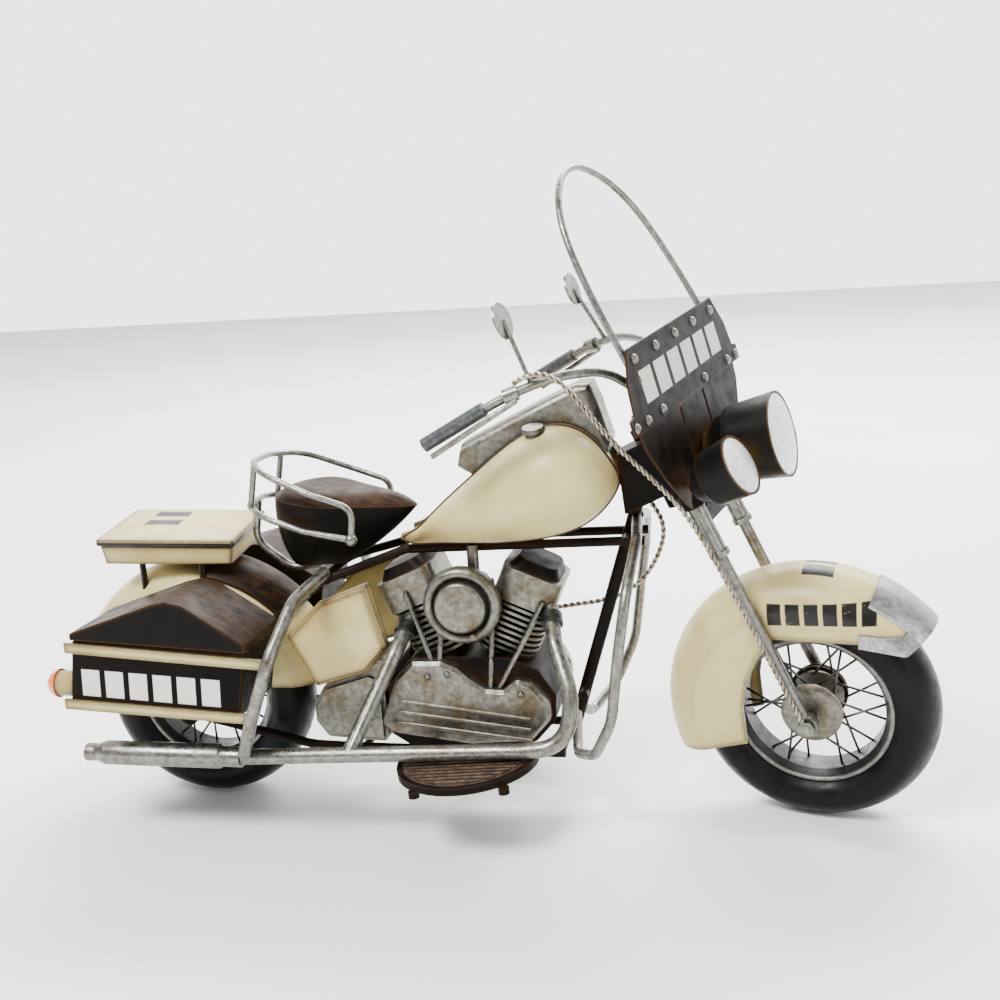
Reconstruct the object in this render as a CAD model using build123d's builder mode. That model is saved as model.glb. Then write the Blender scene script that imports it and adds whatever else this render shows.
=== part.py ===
from build123d import *
import os
from math import cos, radians, sin, tan

# A decorative tin motorcycle: +X is forward, +Y the rider's left, +Z up, in millimetres.
# It is drawn with the ground at z = 0 and the middle of the wheelbase at x = 0, with the
# fork straight ahead. The last section turns the fork to where it rests and moves the
# whole model so that its origin is under the middle of its bounding box.

# ---------------------------------------------------------------- driving dimensions
wheel_radius = 48.0
half_wheelbase = 131.8
tyre_half_width = 13.3
tyre_half_height = 9.8
rim_radius = 31.3
rim_half_width = 8.8
rim_well_radius = 27.6
hub_core_radius = 4.6
drum_radius = 12.0
spoke_radius = 0.5
spoke_count = 24
axle_radius = 2.0
running_gap = 0.05

rake = 24.9
fork_offset = 11.1
fork_half_spacing = 20.2
fork_leg_radius = 2.4
fork_sleeve_radius = 3.5
steering_at_rest = -13.0
windshield_twist = -7.0
headlamp_twist = -3.0
stem_radius = 3.0

sheet = 1.2
fender_half_width = 17.2
fender_shoulder = 13.5
front_fender_radius = 59.5
rear_fender_radius = 61.0
rear_fender_half_width = 20.0

frame_tube_radius = 1.9
crash_bar_radius = 2.1
guard_radius = 2.6
pipe_radius = 3.2
handlebar_radius = 1.8
grip_radius = 2.8
rail_wire_radius = 1.3
loop_wire_radius = 1.3
cable_radius = 1.1

bag_outer = 60.0
bag_inner = 27.0
crank_x = -7.0
crank_z = 39.0
cylinder_lean = 23.0

rear_axle_at = Vector(-half_wheelbase, 0, wheel_radius)
front_axle_at = Vector(half_wheelbase, 0, wheel_radius)
fork_up = Vector(-sin(radians(rake)), 0, cos(radians(rake)))
fork_ahead = Vector(cos(radians(rake)), 0, sin(radians(rake)))
fork_foot = front_axle_at - fork_ahead * fork_offset
fork = Plane(origin=fork_foot, x_dir=fork_ahead, z_dir=fork_up)
steering_axis = Axis(fork_foot, fork_up)

finished = {}


# ---------------------------------------------------------------- shared helpers
def keep(name, part):
    """Puts a finished piece on the list of pieces to write."""
    finished[name] = part


def trim(name, *others):
    """Cuts a piece back to the faces of the pieces it is soldered or bolted to."""
    with BuildPart() as trimmed:
        add(finished[name])
        for other in others:
            add(finished[other], mode=Mode.SUBTRACT)
    finished[name] = trimmed.part


def span(start, end):
    """The plane at the start of a straight run that faces its end, and the run's length."""
    run = Vector(*end) - Vector(*start)
    return Plane(origin=start, z_dir=run), run.length


def rods(runs, radius):
    """Separate straight round rods, one for each pair of ends."""
    with BuildPart() as group:
        for start, end in runs:
            place, length = span(start, end)
            with Locations(place):
                Cylinder(radius, length, align=(Align.CENTER, Align.CENTER, Align.MIN))
    return group.part


def tube_through(points, radius, bends):
    """A round bar along straight runs that are joined by tangent bends."""
    with BuildPart() as bar:
        with BuildLine() as route:
            FilletPolyline(*points, radius=bends)
        with BuildSketch(Plane(origin=points[0], z_dir=route.line % 0)):
            Circle(radius)
        sweep()
    return bar.part


def limp_bends(points):
    """Bends as large as each pair of runs allows, for a cable."""
    corners = [Vector(*point) for point in points]
    radii = []
    for before, here, after in zip(corners, corners[1:], corners[2:]):
        arriving = here - before
        leaving = after - here
        half_turn = radians(arriving.get_angle(leaving)) / 2
        shorter = min(arriving.length, leaving.length)
        radii.append(0.45 * shorter / tan(half_turn))
    return radii


def side_plate(outline, near, far):
    """A flat plate with an outline in the X-Z plane, between two distances to the right."""
    with BuildPart() as plate:
        with BuildSketch(Plane.XZ.offset(near)):
            Polygon(*outline, align=None)
        extrude(amount=far - near)
    return plate.part


def both_sides(part):
    """A right-hand piece together with its left-hand twin."""
    with BuildPart() as pair:
        add(part)
        mirror(about=Plane.XZ)
    return pair.part


def on_fork(ahead, left, up):
    """A point given in the fork's own directions."""
    return fork.from_local_coords(Vector(ahead, left, up))


# ---------------------------------------------------------------- wheels
def wheel_section(centre):
    """The plane of a wheel's half section: x runs along the axle and y outwards."""
    return Plane(origin=centre, x_dir=(0, 1, 0), z_dir=(1, 0, 0))


def tyre(centre):
    """A full, round tyre that sits on the rim's outer face, with a fine centre rib."""
    with BuildPart() as ring:
        with BuildSketch(wheel_section(centre)):
            with Locations((0, wheel_radius - tyre_half_height)):
                Ellipse(tyre_half_width, tyre_half_height)
            with Locations((0, rim_radius / 2)):
                Rectangle(4 * tyre_half_width, rim_radius, mode=Mode.SUBTRACT)
        revolve(axis=Axis(centre, (0, 1, 0)))
    return ring.part


def rim(centre):
    """A drop-centre rim: two raised lips and a deeper well between them."""
    lip = 1.3
    with BuildPart() as ring:
        with BuildSketch(wheel_section(centre)):
            with BuildLine():
                Polyline(
                    (-rim_half_width, rim_radius),
                    (-rim_half_width, rim_radius - lip),
                    (-rim_half_width + lip, rim_radius - 1.6 * lip),
                    (-rim_half_width + 2.6 * lip, rim_well_radius),
                    (rim_half_width - 2.6 * lip, rim_well_radius),
                    (rim_half_width - lip, rim_radius - 1.6 * lip),
                    (rim_half_width, rim_radius - lip),
                    (rim_half_width, rim_radius),
                    close=True,
                )
            make_face()
        revolve(axis=Axis(centre, (0, 1, 0)))
    return ring.part


def hub(centre, drum_side):
    """A hub shell with a domed cover plate on one side and a bore for the axle."""
    face = 12.0
    with BuildPart() as shell:
        with BuildSketch(wheel_section(centre)):
            with BuildLine():
                Polyline(
                    (drum_side * -7.6, axle_radius + running_gap),
                    (drum_side * -7.6, 10.4),
                    (drum_side * -5.6, 10.4),
                    (drum_side * -4.6, hub_core_radius),
                    (drum_side * 4.6, hub_core_radius),
                    (drum_side * 5.6, 10.4),
                    (drum_side * 8.4, 10.4),
                    (drum_side * 8.8, drum_radius),
                    (drum_side * 10.6, drum_radius),
                    (drum_side * 11.4, 10.6),
                    (drum_side * face, 6.0),
                    (drum_side * face, axle_radius + running_gap),
                    close=True,
                )
            make_face()
        revolve(axis=Axis(centre, (0, 1, 0)))
    return shell.part


def brake_drum(centre, side):
    """A ribbed brake drum bolted to the other side of the hub."""
    with BuildPart() as drum:
        with BuildSketch(wheel_section(centre)):
            with BuildLine():
                Polyline(
                    (side * 7.6, axle_radius + running_gap),
                    (side * 7.6, 11.6),
                    (side * 9.0, 11.6),
                    (side * 9.0, 10.9),
                    (side * 10.0, 10.9),
                    (side * 10.0, 11.6),
                    (side * 11.4, 11.2),
                    (side * 12.4, 8.0),
                    (side * 12.4, axle_radius + running_gap),
                    close=True,
                )
            make_face()
        revolve(axis=Axis(centre, (0, 1, 0)))
    return drum.part


def spokes(centre):
    """Crossed wire spokes in two rows, each laced forward and backward in turn."""
    hub_reach = 8.8
    rim_reach = rim_well_radius + 0.6
    lace = 58.0
    runs = []
    for side in (-1, 1):
        for index in range(spoke_count // 4):
            for turn, inset in ((1, 0.0), (-1, 1.5)):
                angle = 1440.0 / spoke_count * index + (15.0 if side > 0 else 0.0)
                foot = radians(angle - turn * lace / 2)
                head = radians(angle + turn * 8.0)
                start = centre + Vector(
                    hub_reach * cos(foot), side * (7.2 - inset), hub_reach * sin(foot)
                )
                end = centre + Vector(
                    rim_reach * cos(head), side * (3.4 - inset), rim_reach * sin(head)
                )
                runs.append((start, end))
    return rods(runs, spoke_radius)


def axle(centre, half_length, nut_at):
    """A through axle with a round nut near each end."""
    nut_radius = 3.3
    nut_width = 1.8
    with BuildPart() as spindle:
        with BuildSketch(Plane.XZ.offset(-half_length)):
            with Locations((centre.X, centre.Z)):
                Circle(axle_radius)
        extrude(amount=2 * half_length)
        for start in (nut_at, -nut_at - nut_width):
            with BuildSketch(Plane.XZ.offset(start)):
                with Locations((centre.X, centre.Z)):
                    RegularPolygon(nut_radius, 6)
            extrude(amount=nut_width)
    return spindle.part


keep("rear_tyre", tyre(rear_axle_at))
keep("rear_rim", rim(rear_axle_at))
keep("rear_hub", hub(rear_axle_at, -1))
keep("rear_spokes", spokes(rear_axle_at))
keep("rear_axle", axle(rear_axle_at, 27.5, 25.6))
keep("front_tyre", tyre(front_axle_at))
keep("front_rim", rim(front_axle_at))
keep("front_hub", hub(front_axle_at, -1))
keep("front_brake_drum", brake_drum(front_axle_at, 1))
keep("front_spokes", spokes(front_axle_at))
keep("front_axle", axle(front_axle_at, fork_half_spacing + 4.6, fork_half_spacing + 2.5))


# ---------------------------------------------------------------- fork and steering head
leg_top = 139.0
lower_crown_at = 96.6
upper_crown_at = 126.4
crown_thickness = 6.0
sleeve_foot = 75.0
eye_half_width = 2.0


def fork_legs():
    """Two straight legs whose flattened eyes hold the axle."""
    with BuildPart() as legs:
        for side in (-1, 1):
            with BuildSketch(fork.offset(3.0)):
                with Locations((fork_offset, side * fork_half_spacing)):
                    Circle(fork_leg_radius)
            extrude(amount=leg_top - 3.0)
            with BuildSketch(Plane.XZ.offset(side * fork_half_spacing - eye_half_width)):
                with Locations((front_axle_at.X, front_axle_at.Z)):
                    Circle(4.2)
            extrude(amount=2 * eye_half_width)
        with Locations(Plane(origin=front_axle_at, z_dir=(0, 1, 0))):
            Cylinder(axle_radius, 60, mode=Mode.SUBTRACT)
    return legs.part


def fork_sleeves():
    """Covers over the upper legs, each closed by a wider ring."""
    top = lower_crown_at - sleeve_foot
    with BuildPart() as sleeves:
        for side in (-1, 1):
            with BuildSketch(fork.offset(sleeve_foot)):
                with Locations((fork_offset, side * fork_half_spacing)):
                    Circle(fork_sleeve_radius)
                    Circle(fork_leg_radius, mode=Mode.SUBTRACT)
            extrude(amount=top)
            with BuildSketch(fork.offset(sleeve_foot)):
                with Locations((fork_offset, side * fork_half_spacing)):
                    Circle(fork_sleeve_radius + 0.6)
                    Circle(fork_leg_radius, mode=Mode.SUBTRACT)
            extrude(amount=2.4)
    return sleeves.part


def fork_crowns():
    """Lower and upper plates that clamp the legs and the steering stem."""
    with BuildPart() as crowns:
        for height in (lower_crown_at, upper_crown_at):
            with BuildSketch(fork.offset(height)) as plan:
                with Locations((fork_offset, 0)):
                    SlotOverall(2 * fork_half_spacing + 9.0, 9.0, rotation=90)
                Circle(6.6)
                with Locations((fork_offset / 2, 0)):
                    Rectangle(fork_offset, 12.0)
                Circle(stem_radius, mode=Mode.SUBTRACT)
                with Locations(
                    (fork_offset, fork_half_spacing), (fork_offset, -fork_half_spacing)
                ):
                    Circle(fork_leg_radius, mode=Mode.SUBTRACT)
            extrude(amount=crown_thickness if height == lower_crown_at else 4.5)
        bracket_top = 22.0
        with BuildSketch(fork.offset(lower_crown_at + crown_thickness)):
            with Locations((fork_offset + 2.0, 0)):
                Rectangle(5.0, 10.0)
        extrude(amount=bracket_top)
    return crowns.part


keep("fork_legs", fork_legs())
keep("fork_sleeves", fork_sleeves())

with BuildPart() as steering_stem:
    with BuildSketch(fork.offset(lower_crown_at - 1.5)):
        Circle(stem_radius)
    extrude(amount=upper_crown_at + 8.0 - lower_crown_at)
    with BuildSketch(fork.offset(upper_crown_at + 4.5)):
        RegularPolygon(5.0, 6)
    extrude(amount=2.6)
keep("steering_stem", steering_stem.part)


# ---------------------------------------------------------------- fenders
def fender_shell(centre, crown_radius, half_width, inner_radius, first, last, thickness=sheet):
    """A U-shaped shell round a wheel, between two angles above the horizontal."""
    shoulder = crown_radius - fender_shoulder
    inner_half = half_width - thickness
    start = Plane(
        origin=centre,
        x_dir=(0, 1, 0),
        z_dir=(sin(radians(first)), 0, -cos(radians(first))),
    )
    with BuildPart() as shell:
        with BuildSketch(start):
            with BuildLine():
                Polyline(
                    (-inner_half, shoulder),
                    (-inner_half, inner_radius),
                    (-half_width, inner_radius),
                    (-half_width, shoulder),
                )
                ThreePointArc((-half_width, shoulder), (0, crown_radius), (half_width, shoulder))
                Polyline(
                    (half_width, shoulder),
                    (half_width, inner_radius),
                    (inner_half, inner_radius),
                    (inner_half, shoulder),
                )
                ThreePointArc(
                    (inner_half, shoulder), (0, crown_radius - thickness), (-inner_half, shoulder)
                )
            make_face()
        revolve(axis=Axis(centre, (0, -1, 0)), revolution_arc=last - first)
    return shell.part


with BuildPart() as front_fender:
    add(
        fender_shell(
            front_axle_at, front_fender_radius, fender_half_width, 22.0, 43.0, 212.0
        )
    )
    opening = [
        (107.5, 10.0),
        (107.8, 33.0),
        (106.3, 50.0),
        (108.0, 62.0),
        (112.5, 72.5),
        (119.0, 81.5),
        (190.0, 83.5),
        (190.0, 10.0),
    ]
    with BuildSketch(Plane.XZ.offset(-30)):
        Polygon(*opening, align=None)
    extrude(amount=60, mode=Mode.SUBTRACT)
    below_skirt = [(60.0, 0.0), (60.0, 20.0), (108.0, 35.0), (120.0, 35.0), (120.0, 0.0)]
    with BuildSketch(Plane.XZ.offset(-30)):
        Polygon(*below_skirt, align=None)
    extrude(amount=60, mode=Mode.SUBTRACT)
keep("front_fender", front_fender.part)

tip_peak = [(100, 86.5), (166.5, 86.5), (171.5, 92.0), (158.0, 99.5), (154.0, 130), (100, 130)]
tip_foot = [(100, 0), (100, 81.0), (152.0, 81.0), (166.0, 79.5), (200, 79.5), (200, 0)]
tip_rear = [(100, 0), (100, 130), (150.5, 130), (150.5, 0)]
with BuildPart() as fender_tip:
    add(
        fender_shell(
            front_axle_at,
            front_fender_radius + 0.9,
            fender_half_width + 0.9,
            22.0,
            41.0,
            66.0,
            thickness=0.8,
        )
    )
    with BuildSketch(Plane.XZ.offset(-30)):
        Polygon(*tip_foot, align=None)
    extrude(amount=60, mode=Mode.SUBTRACT)
    for near in (-30, 14):
        with BuildSketch(Plane.XZ.offset(near)):
            Polygon(*tip_peak, align=None)
        extrude(amount=16, mode=Mode.SUBTRACT)
    with BuildSketch(Plane.XZ.offset(-30)):
        Polygon(*tip_rear, align=None)
    extrude(amount=60, mode=Mode.SUBTRACT)
keep("fender_tip", fender_tip.part)

with BuildPart() as rear_fender:
    add(
        fender_shell(
            rear_axle_at, rear_fender_radius, rear_fender_half_width, 30.0, 8.0, 172.0
        )
    )
    with BuildSketch(Plane.XZ.offset(-30)):
        Polygon((-220, 0), (-220, 52), (-120, 56), (-50, 56), (-50, 0), align=None)
    extrude(amount=60, mode=Mode.SUBTRACT)
keep("rear_fender", rear_fender.part)

panel_radius = rear_fender_radius + 2.6
with BuildPart() as fender_panel:
    with BuildSketch(
        Plane(
            origin=rear_axle_at,
            x_dir=(0, 1, 0),
            z_dir=(sin(radians(40)), 0, -cos(radians(40))),
        )
    ):
        with BuildLine():
            ThreePointArc((-15, panel_radius - 6.8), (0, panel_radius), (15, panel_radius - 6.8))
            Line((15, panel_radius - 6.8), (15, panel_radius - 8.0))
            ThreePointArc(
                (15, panel_radius - 8.0), (0, panel_radius - 1.2), (-15, panel_radius - 8.0)
            )
            Line((-15, panel_radius - 8.0), (-15, panel_radius - 6.8))
        make_face()
    revolve(axis=Axis(rear_axle_at, (0, -1, 0)), revolution_arc=42)
keep("fender_panel", fender_panel.part)


# ---------------------------------------------------------------- lamps
def lamp(face_at, face_radius, depth, tilt):
    """A bullet-shaped lamp shell and the domed lens that fills its mouth."""
    wall = 0.9
    aim = Vector(cos(radians(tilt)), 0, sin(radians(tilt)))
    across = Vector(-sin(radians(tilt)), 0, cos(radians(tilt)))
    section = Plane(origin=face_at, x_dir=across, z_dir=(0, 1, 0))
    centre_line = Axis(face_at, aim)
    back = -depth
    with BuildPart() as shell:
        with BuildSketch(section):
            with BuildLine():
                Spline(
                    (0, back),
                    (0.45 * face_radius, back + 0.04 * depth),
                    (0.78 * face_radius, back + 0.3 * depth),
                    (face_radius, 0),
                    tangents=((1, 0), (0.1, 1)),
                )
                Line((face_radius, 0), (face_radius - wall, 0))
                Spline(
                    (face_radius - wall, 0),
                    (0.78 * face_radius - wall, back + 0.3 * depth + wall / 2),
                    (0.42 * face_radius, back + 0.04 * depth + wall),
                    (0, back + wall),
                    tangents=((-0.1, -1), (-1, 0)),
                )
                Line((0, back + wall), (0, back))
            make_face()
        revolve(axis=centre_line)
    glass_radius = face_radius - wall - 0.1
    dome = 1.6
    ball = (glass_radius**2 + (dome + 0.2) ** 2) / (2 * (dome + 0.2))
    halfway = (glass_radius / 2, dome - ball + (ball**2 - (glass_radius / 2) ** 2) ** 0.5)
    with BuildPart() as lens:
        with BuildSketch(section):
            with BuildLine():
                Line((0, -1.6), (glass_radius - 0.4, -1.6))
                Line((glass_radius - 0.4, -1.6), (glass_radius, -0.2))
                ThreePointArc((glass_radius, -0.2), halfway, (0, dome))
                Line((0, dome), (0, -1.6))
            make_face()
        revolve(axis=centre_line)
    return shell.part, lens.part


headlamp_face = Vector(121.3, 0, 160.0)
headlamp_radius = 16.6
headlamp_tilt = 14.0
spot_face = Vector(115.4, -28.2, 158.2)
spot_radius = 11.6
spot_tilt = 29.0
head_shell, head_lens = lamp(headlamp_face, headlamp_radius, 30.6, headlamp_tilt)
spot_shell, spot_lens = lamp(spot_face, spot_radius, 21.0, spot_tilt)


def on_both_twists(right_piece):
    """A spot lamp piece and its twin, each with the turn that keeps it beside the headlamp."""
    left_piece = mirror(right_piece, about=Plane.XZ, mode=Mode.PRIVATE)
    return [(right_piece, windshield_twist), (left_piece, 2 * headlamp_twist - windshield_twist)]


with BuildPart() as lamp_shells:
    add(head_shell.rotate(steering_axis, headlamp_twist))
    for spot, twist in on_both_twists(spot_shell):
        add(spot.rotate(steering_axis, twist))
keep("lamp_shells", lamp_shells.part)
with BuildPart() as lamp_lenses:
    add(head_lens.rotate(steering_axis, headlamp_twist))
    for spot, twist in on_both_twists(spot_lens):
        add(spot.rotate(steering_axis, twist))
keep("lamp_lenses", lamp_lenses.part)

spot_stay = [
    on_fork(fork_offset + 4.0, -8.0, lower_crown_at + 4.0),
    on_fork(fork_offset + 9.0, -16.0, lower_crown_at + 8.0),
    spot_face - Vector(cos(radians(spot_tilt)), 0, sin(radians(spot_tilt))) * 20.4,
]
lamp_stay_radius = 1.5
right_stay = tube_through(spot_stay, lamp_stay_radius, 4.0)


# ---------------------------------------------------------------- windshield
shield_top = Vector(79.0, 0, 203.0)
shield_tilt = 14.0
loop_tilt = 28.0
loop_foot = Vector(77.0, 0, 201.0)


def leaning(origin, tilt):
    """A plane that faces forward and leans back: x to the left and y up the lean."""
    lean = radians(tilt)
    return Plane(origin=origin, x_dir=(0, 1, 0), z_dir=(cos(lean), 0, sin(lean)))


shield = leaning(shield_top, shield_tilt)
seam_at = -25.0
upper_outline = [(-42, 0), (42, 0), (49, -12), (51, -22), (55, -23), (55, -29), (-55, -29), (-55, -23)]
upper_outline += [(-51, -22), (-49, -12)]
lower_outline = [(-50.5, -22), (50.5, -22), (48, -36), (40, -50), (30, -63), (16, -76)]
lower_outline += [(-16, -76), (-30, -63), (-40, -50), (-48, -36)]

with BuildPart() as windshield_plate:
    with BuildSketch(shield.offset(0.75)):
        Polygon(*upper_outline, align=None)
    extrude(amount=0.9)

with BuildPart() as windshield_apron:
    with BuildSketch(shield.offset(-0.25)):
        Polygon(*lower_outline, align=None)
        with Locations((-12, -43), (12, -43)):
            SlotOverall(26, 1.6, rotation=90, mode=Mode.SUBTRACT)
        with Locations((7.5, -49)):
            Circle(3.0, mode=Mode.SUBTRACT)
        with Locations((fork_half_spacing, -66), (-fork_half_spacing, -66)):
            Circle(6.5, mode=Mode.SUBTRACT)
    extrude(amount=0.9)

with BuildPart() as windshield_plates:
    add(windshield_plate.part.rotate(steering_axis, windshield_twist))
    add(windshield_apron.part.rotate(steering_axis, windshield_twist))
keep("windshield_plates", windshield_plates.part)

upper_rivets = (-38.5, -19.0, 0.0, 19.0, 38.5)
lower_rivets = (-52.0, -42.0, -28.0, 15.0, 42.0, 52.0)
rivet_spots = [(across, -4.5) for across in upper_rivets]
rivet_spots += [(across, seam_at - 1.5) for across in lower_rivets]
rivet_radius = 2.0
with BuildPart() as windshield_rivets:
    for across, up in rivet_spots:
        centre = shield.offset(1.65).from_local_coords(Vector(across, up, 0))
        with BuildSketch(Plane(origin=centre, x_dir=shield.x_dir, z_dir=shield.y_dir)):
            with BuildLine():
                ThreePointArc((0, -1.1), (-rivet_radius * 0.75, -0.75), (-rivet_radius, 0))
                Line((-rivet_radius, 0), (0, 0))
                Line((0, 0), (0, -1.1))
            make_face()
        revolve(axis=Axis(centre, shield.z_dir))
keep("windshield_rivets", windshield_rivets.part.rotate(steering_axis, windshield_twist))

loop_plane = leaning(loop_foot, loop_tilt)
loop_path = [(-39, -12), (-38.5, 6), (-36, 30), (-30, 49), (-18, 62.5), (0, 69), (18, 62.5)]
loop_path += [(30, 49), (36, 30), (38.5, 6), (39, -12)]
with BuildPart() as windshield_frame:
    with BuildLine(loop_plane) as loop_line:
        Spline(*loop_path)
    with BuildSketch(Plane(origin=loop_line.line @ 0, z_dir=loop_line.line % 0)):
        Circle(loop_wire_radius)
    sweep()
keep("windshield_frame", windshield_frame.part.rotate(steering_axis, windshield_twist))


# ---------------------------------------------------------------- handlebar and controls
grip_end = Vector(-3.2, -55.0, 167.2)
grip_front = Vector(20.5, -49.0, 180.2)
bar_clamp_at = on_fork(fork_offset, 0, leg_top + 2.0)


def mirrored(point):
    """The same point on the rider's left."""
    return Vector(point.X, -point.Y, point.Z)


bar_right = [
    grip_end + (grip_front - grip_end) * 0.12,
    Vector(29.5, -46.8, 184.8),
    Vector(46.0, -40.0, 190.4),
    Vector(61.0, -29.0, 190.2),
    Vector(68.4, -19.0, 182.0),
    bar_clamp_at + Vector(0, -10.0, -1.0),
]
bar_route = bar_right + [mirrored(point) for point in reversed(bar_right)]
with BuildPart() as handlebar:
    add(tube_through(bar_route, handlebar_radius, limp_bends(bar_route)))
keep("handlebar", handlebar.part)

grip_run = grip_front - grip_end
with BuildPart() as right_grip:
    with BuildSketch(Plane(origin=grip_end, z_dir=grip_run)):
        Circle(grip_radius)
    extrude(amount=grip_run.length)
    add(handlebar.part, mode=Mode.SUBTRACT)
keep("hand_grips", both_sides(right_grip.part))

lever_tip = Vector(1.0, -57.5, 163.6)
lever_knee = Vector(22.0, -52.5, 176.4)
lever_root = Vector(33.0, -47.0, 183.0)
perch_run = Vector(16.5, 6.8, 5.6)
with BuildPart() as right_lever:
    add(tube_through([lever_tip, lever_knee, lever_root], 1.1, 8.0))
    with BuildSketch(Plane(origin=Vector(28.0, -47.2, 184.1), z_dir=perch_run)):
        Circle(3.0)
    extrude(amount=5.5)
    add(handlebar.part, mode=Mode.SUBTRACT)
keep("hand_levers", both_sides(right_lever.part))

mirror_disc_at = Vector(26.5, -38.0, 211.0)
mirror_foot = Vector(37.6, -43.0, 188.4)
mirror_lean = 18.0
mirror_radius = 7.2
with BuildPart() as right_mirror:
    with BuildSketch(Plane(origin=mirror_disc_at, z_dir=mirror_foot - mirror_disc_at)):
        Circle(0.9)
    extrude(amount=(mirror_foot - mirror_disc_at).length)
    with BuildSketch(leaning(mirror_disc_at, mirror_lean).offset(-0.7)):
        Circle(mirror_radius)
    extrude(amount=0.9, taper=18)
    add(handlebar.part, mode=Mode.SUBTRACT)
keep("mirrors", both_sides(right_mirror.part))

with BuildPart() as bar_clamp:
    with BuildSketch(Plane.XZ.offset(-9.0)):
        with Locations((bar_clamp_at.X, bar_clamp_at.Z)):
            Rectangle(8.5, 7.0, rotation=-rake)
    extrude(amount=18.0)
    for side in (-1, 1):
        place, length = span(
            on_fork(fork_offset, side * fork_half_spacing, leg_top - 3.0),
            on_fork(fork_offset, 0, leg_top - 1.0),
        )
        with Locations(place):
            Cylinder(2.2, length, align=(Align.CENTER, Align.CENTER, Align.MIN))

with BuildPart() as crowns_and_stays:
    add(fork_crowns())
    add(bar_clamp.part)
    for stay, twist in on_both_twists(right_stay):
        add(stay.rotate(steering_axis, twist))
    add(handlebar.part, mode=Mode.SUBTRACT)
    add(finished["fork_legs"], mode=Mode.SUBTRACT)
keep("fork_crowns", crowns_and_stays.part)

brake_route = [
    Vector(31.0, -44.4, 188.6),
    Vector(38.4, -46.4, 193.4),
    Vector(49.0, -46.0, 191.4),
    Vector(56.5, -44.4, 181.6),
    Vector(63.6, -41.6, 170.4),
    Vector(70.4, -37.8, 160.4),
    Vector(79.0, -33.0, 149.6),
    Vector(88.4, -28.8, 137.4),
    Vector(97.0, -26.8, 121.6),
    Vector(105.0, -26.4, 105.2),
    Vector(113.2, -26.4, 88.6),
    Vector(121.4, -26.3, 71.4),
    Vector(130.6, -25.2, 51.6),
]
brake_bends = limp_bends(brake_route)
keep("brake_cable", tube_through(brake_route, cable_radius, brake_bends))
print("brake cable bends", [round(bend, 1) for bend in brake_bends])

# ---------------------------------------------------------------- frame
backbone_z = 116.2
backbone_half = 9.0
rail_half = 16.5
downtube_top = Vector(62.6, 0, 130.0)
downtube_foot = Vector(32.6, 0, 33.0)
stay_top = Vector(-31.0, backbone_half + 1.0, backbone_z - 1.2)
stay_knee = Vector(-70.0, 21.4, 102.6)
stay_foot = Vector(-129.0, 24.0, 54.0)
rail_foot = Vector(-78.0, 20.0, 30.6)
rail_rear = Vector(-129.0, 24.0, 44.5)

with BuildPart() as frame_neck:
    with BuildSketch(fork.offset(103.2)):
        with Locations((-9.0, 0)):
            RectangleRounded(26.0, 22.0, 3.0)
    with BuildSketch(fork.offset(125.8)):
        with Locations((-4.4, 0)):
            RectangleRounded(20.0, 20.0, 3.0)
    loft()
    with BuildSketch(fork.offset(100)):
        Circle(stem_radius + running_gap)
    extrude(amount=40, mode=Mode.SUBTRACT)
keep("frame_neck", frame_neck.part)

backbone_runs = []
for side in (-1, 1):
    front_end = (66.0, side * backbone_half, backbone_z + 0.8)
    rear_end = (-32.0, side * backbone_half, backbone_z - 2.0)
    backbone_runs.append((front_end, rear_end))
keep("frame_backbone", rods(backbone_runs, frame_tube_radius))

with BuildPart() as frame_downtube:
    place, length = span(downtube_foot, downtube_top)
    with Locations(place):
        Cylinder(2.6, length, align=(Align.CENTER, Align.CENTER, Align.MIN))
    for height in (backbone_z + 0.6, 50.0, 34.0):
        lean = (downtube_top.X - downtube_foot.X) / (downtube_top.Z - downtube_foot.Z)
        at = Vector(downtube_foot.X + lean * (height - downtube_foot.Z), 0, height)
        half = backbone_half + 2.4 if height > 100 else 7.0
        place, length = span(at - Vector(0, half, 0), at + Vector(0, half, 0))
        with Locations(place):
            Cylinder(2.0, length, align=(Align.CENTER, Align.CENTER, Align.MIN))
keep("frame_downtube", frame_downtube.part)


def frame_rear_tubes():
    """Seat stays, lower rails and the plates that hold the rear axle."""
    stays = tube_through([stay_top, stay_knee, stay_foot], frame_tube_radius, 30.0)
    rails = tube_through(
        [Vector(31.0, rail_half, 28.4), Vector(-60.0, rail_half, 28.4), rail_foot, rail_rear],
        frame_tube_radius,
        [40.0, 30.0],
    )
    with BuildPart() as plate:
        with BuildSketch(Plane.XZ.offset(-25.4)):
            with Locations((rear_axle_at.X, rear_axle_at.Z + 1.2)):
                SlotOverall(18.0, 9.0, rotation=90)
            with Locations((rear_axle_at.X, rear_axle_at.Z)):
                Circle(axle_radius, mode=Mode.SUBTRACT)
        extrude(amount=2.8)
    with BuildPart() as tubes:
        for piece in (stays, rails, plate.part):
            add(piece)
            add(mirror(piece, about=Plane.XZ, mode=Mode.PRIVATE))
        for x in (29.0, -56.0):
            with Locations(Plane(origin=(x, -rail_half, 28.4), z_dir=(0, 1, 0))):
                Cylinder(1.7, 2 * rail_half, align=(Align.CENTER, Align.CENTER, Align.MIN))
    return tubes.part


keep("frame_rear_tubes", frame_rear_tubes())

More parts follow.
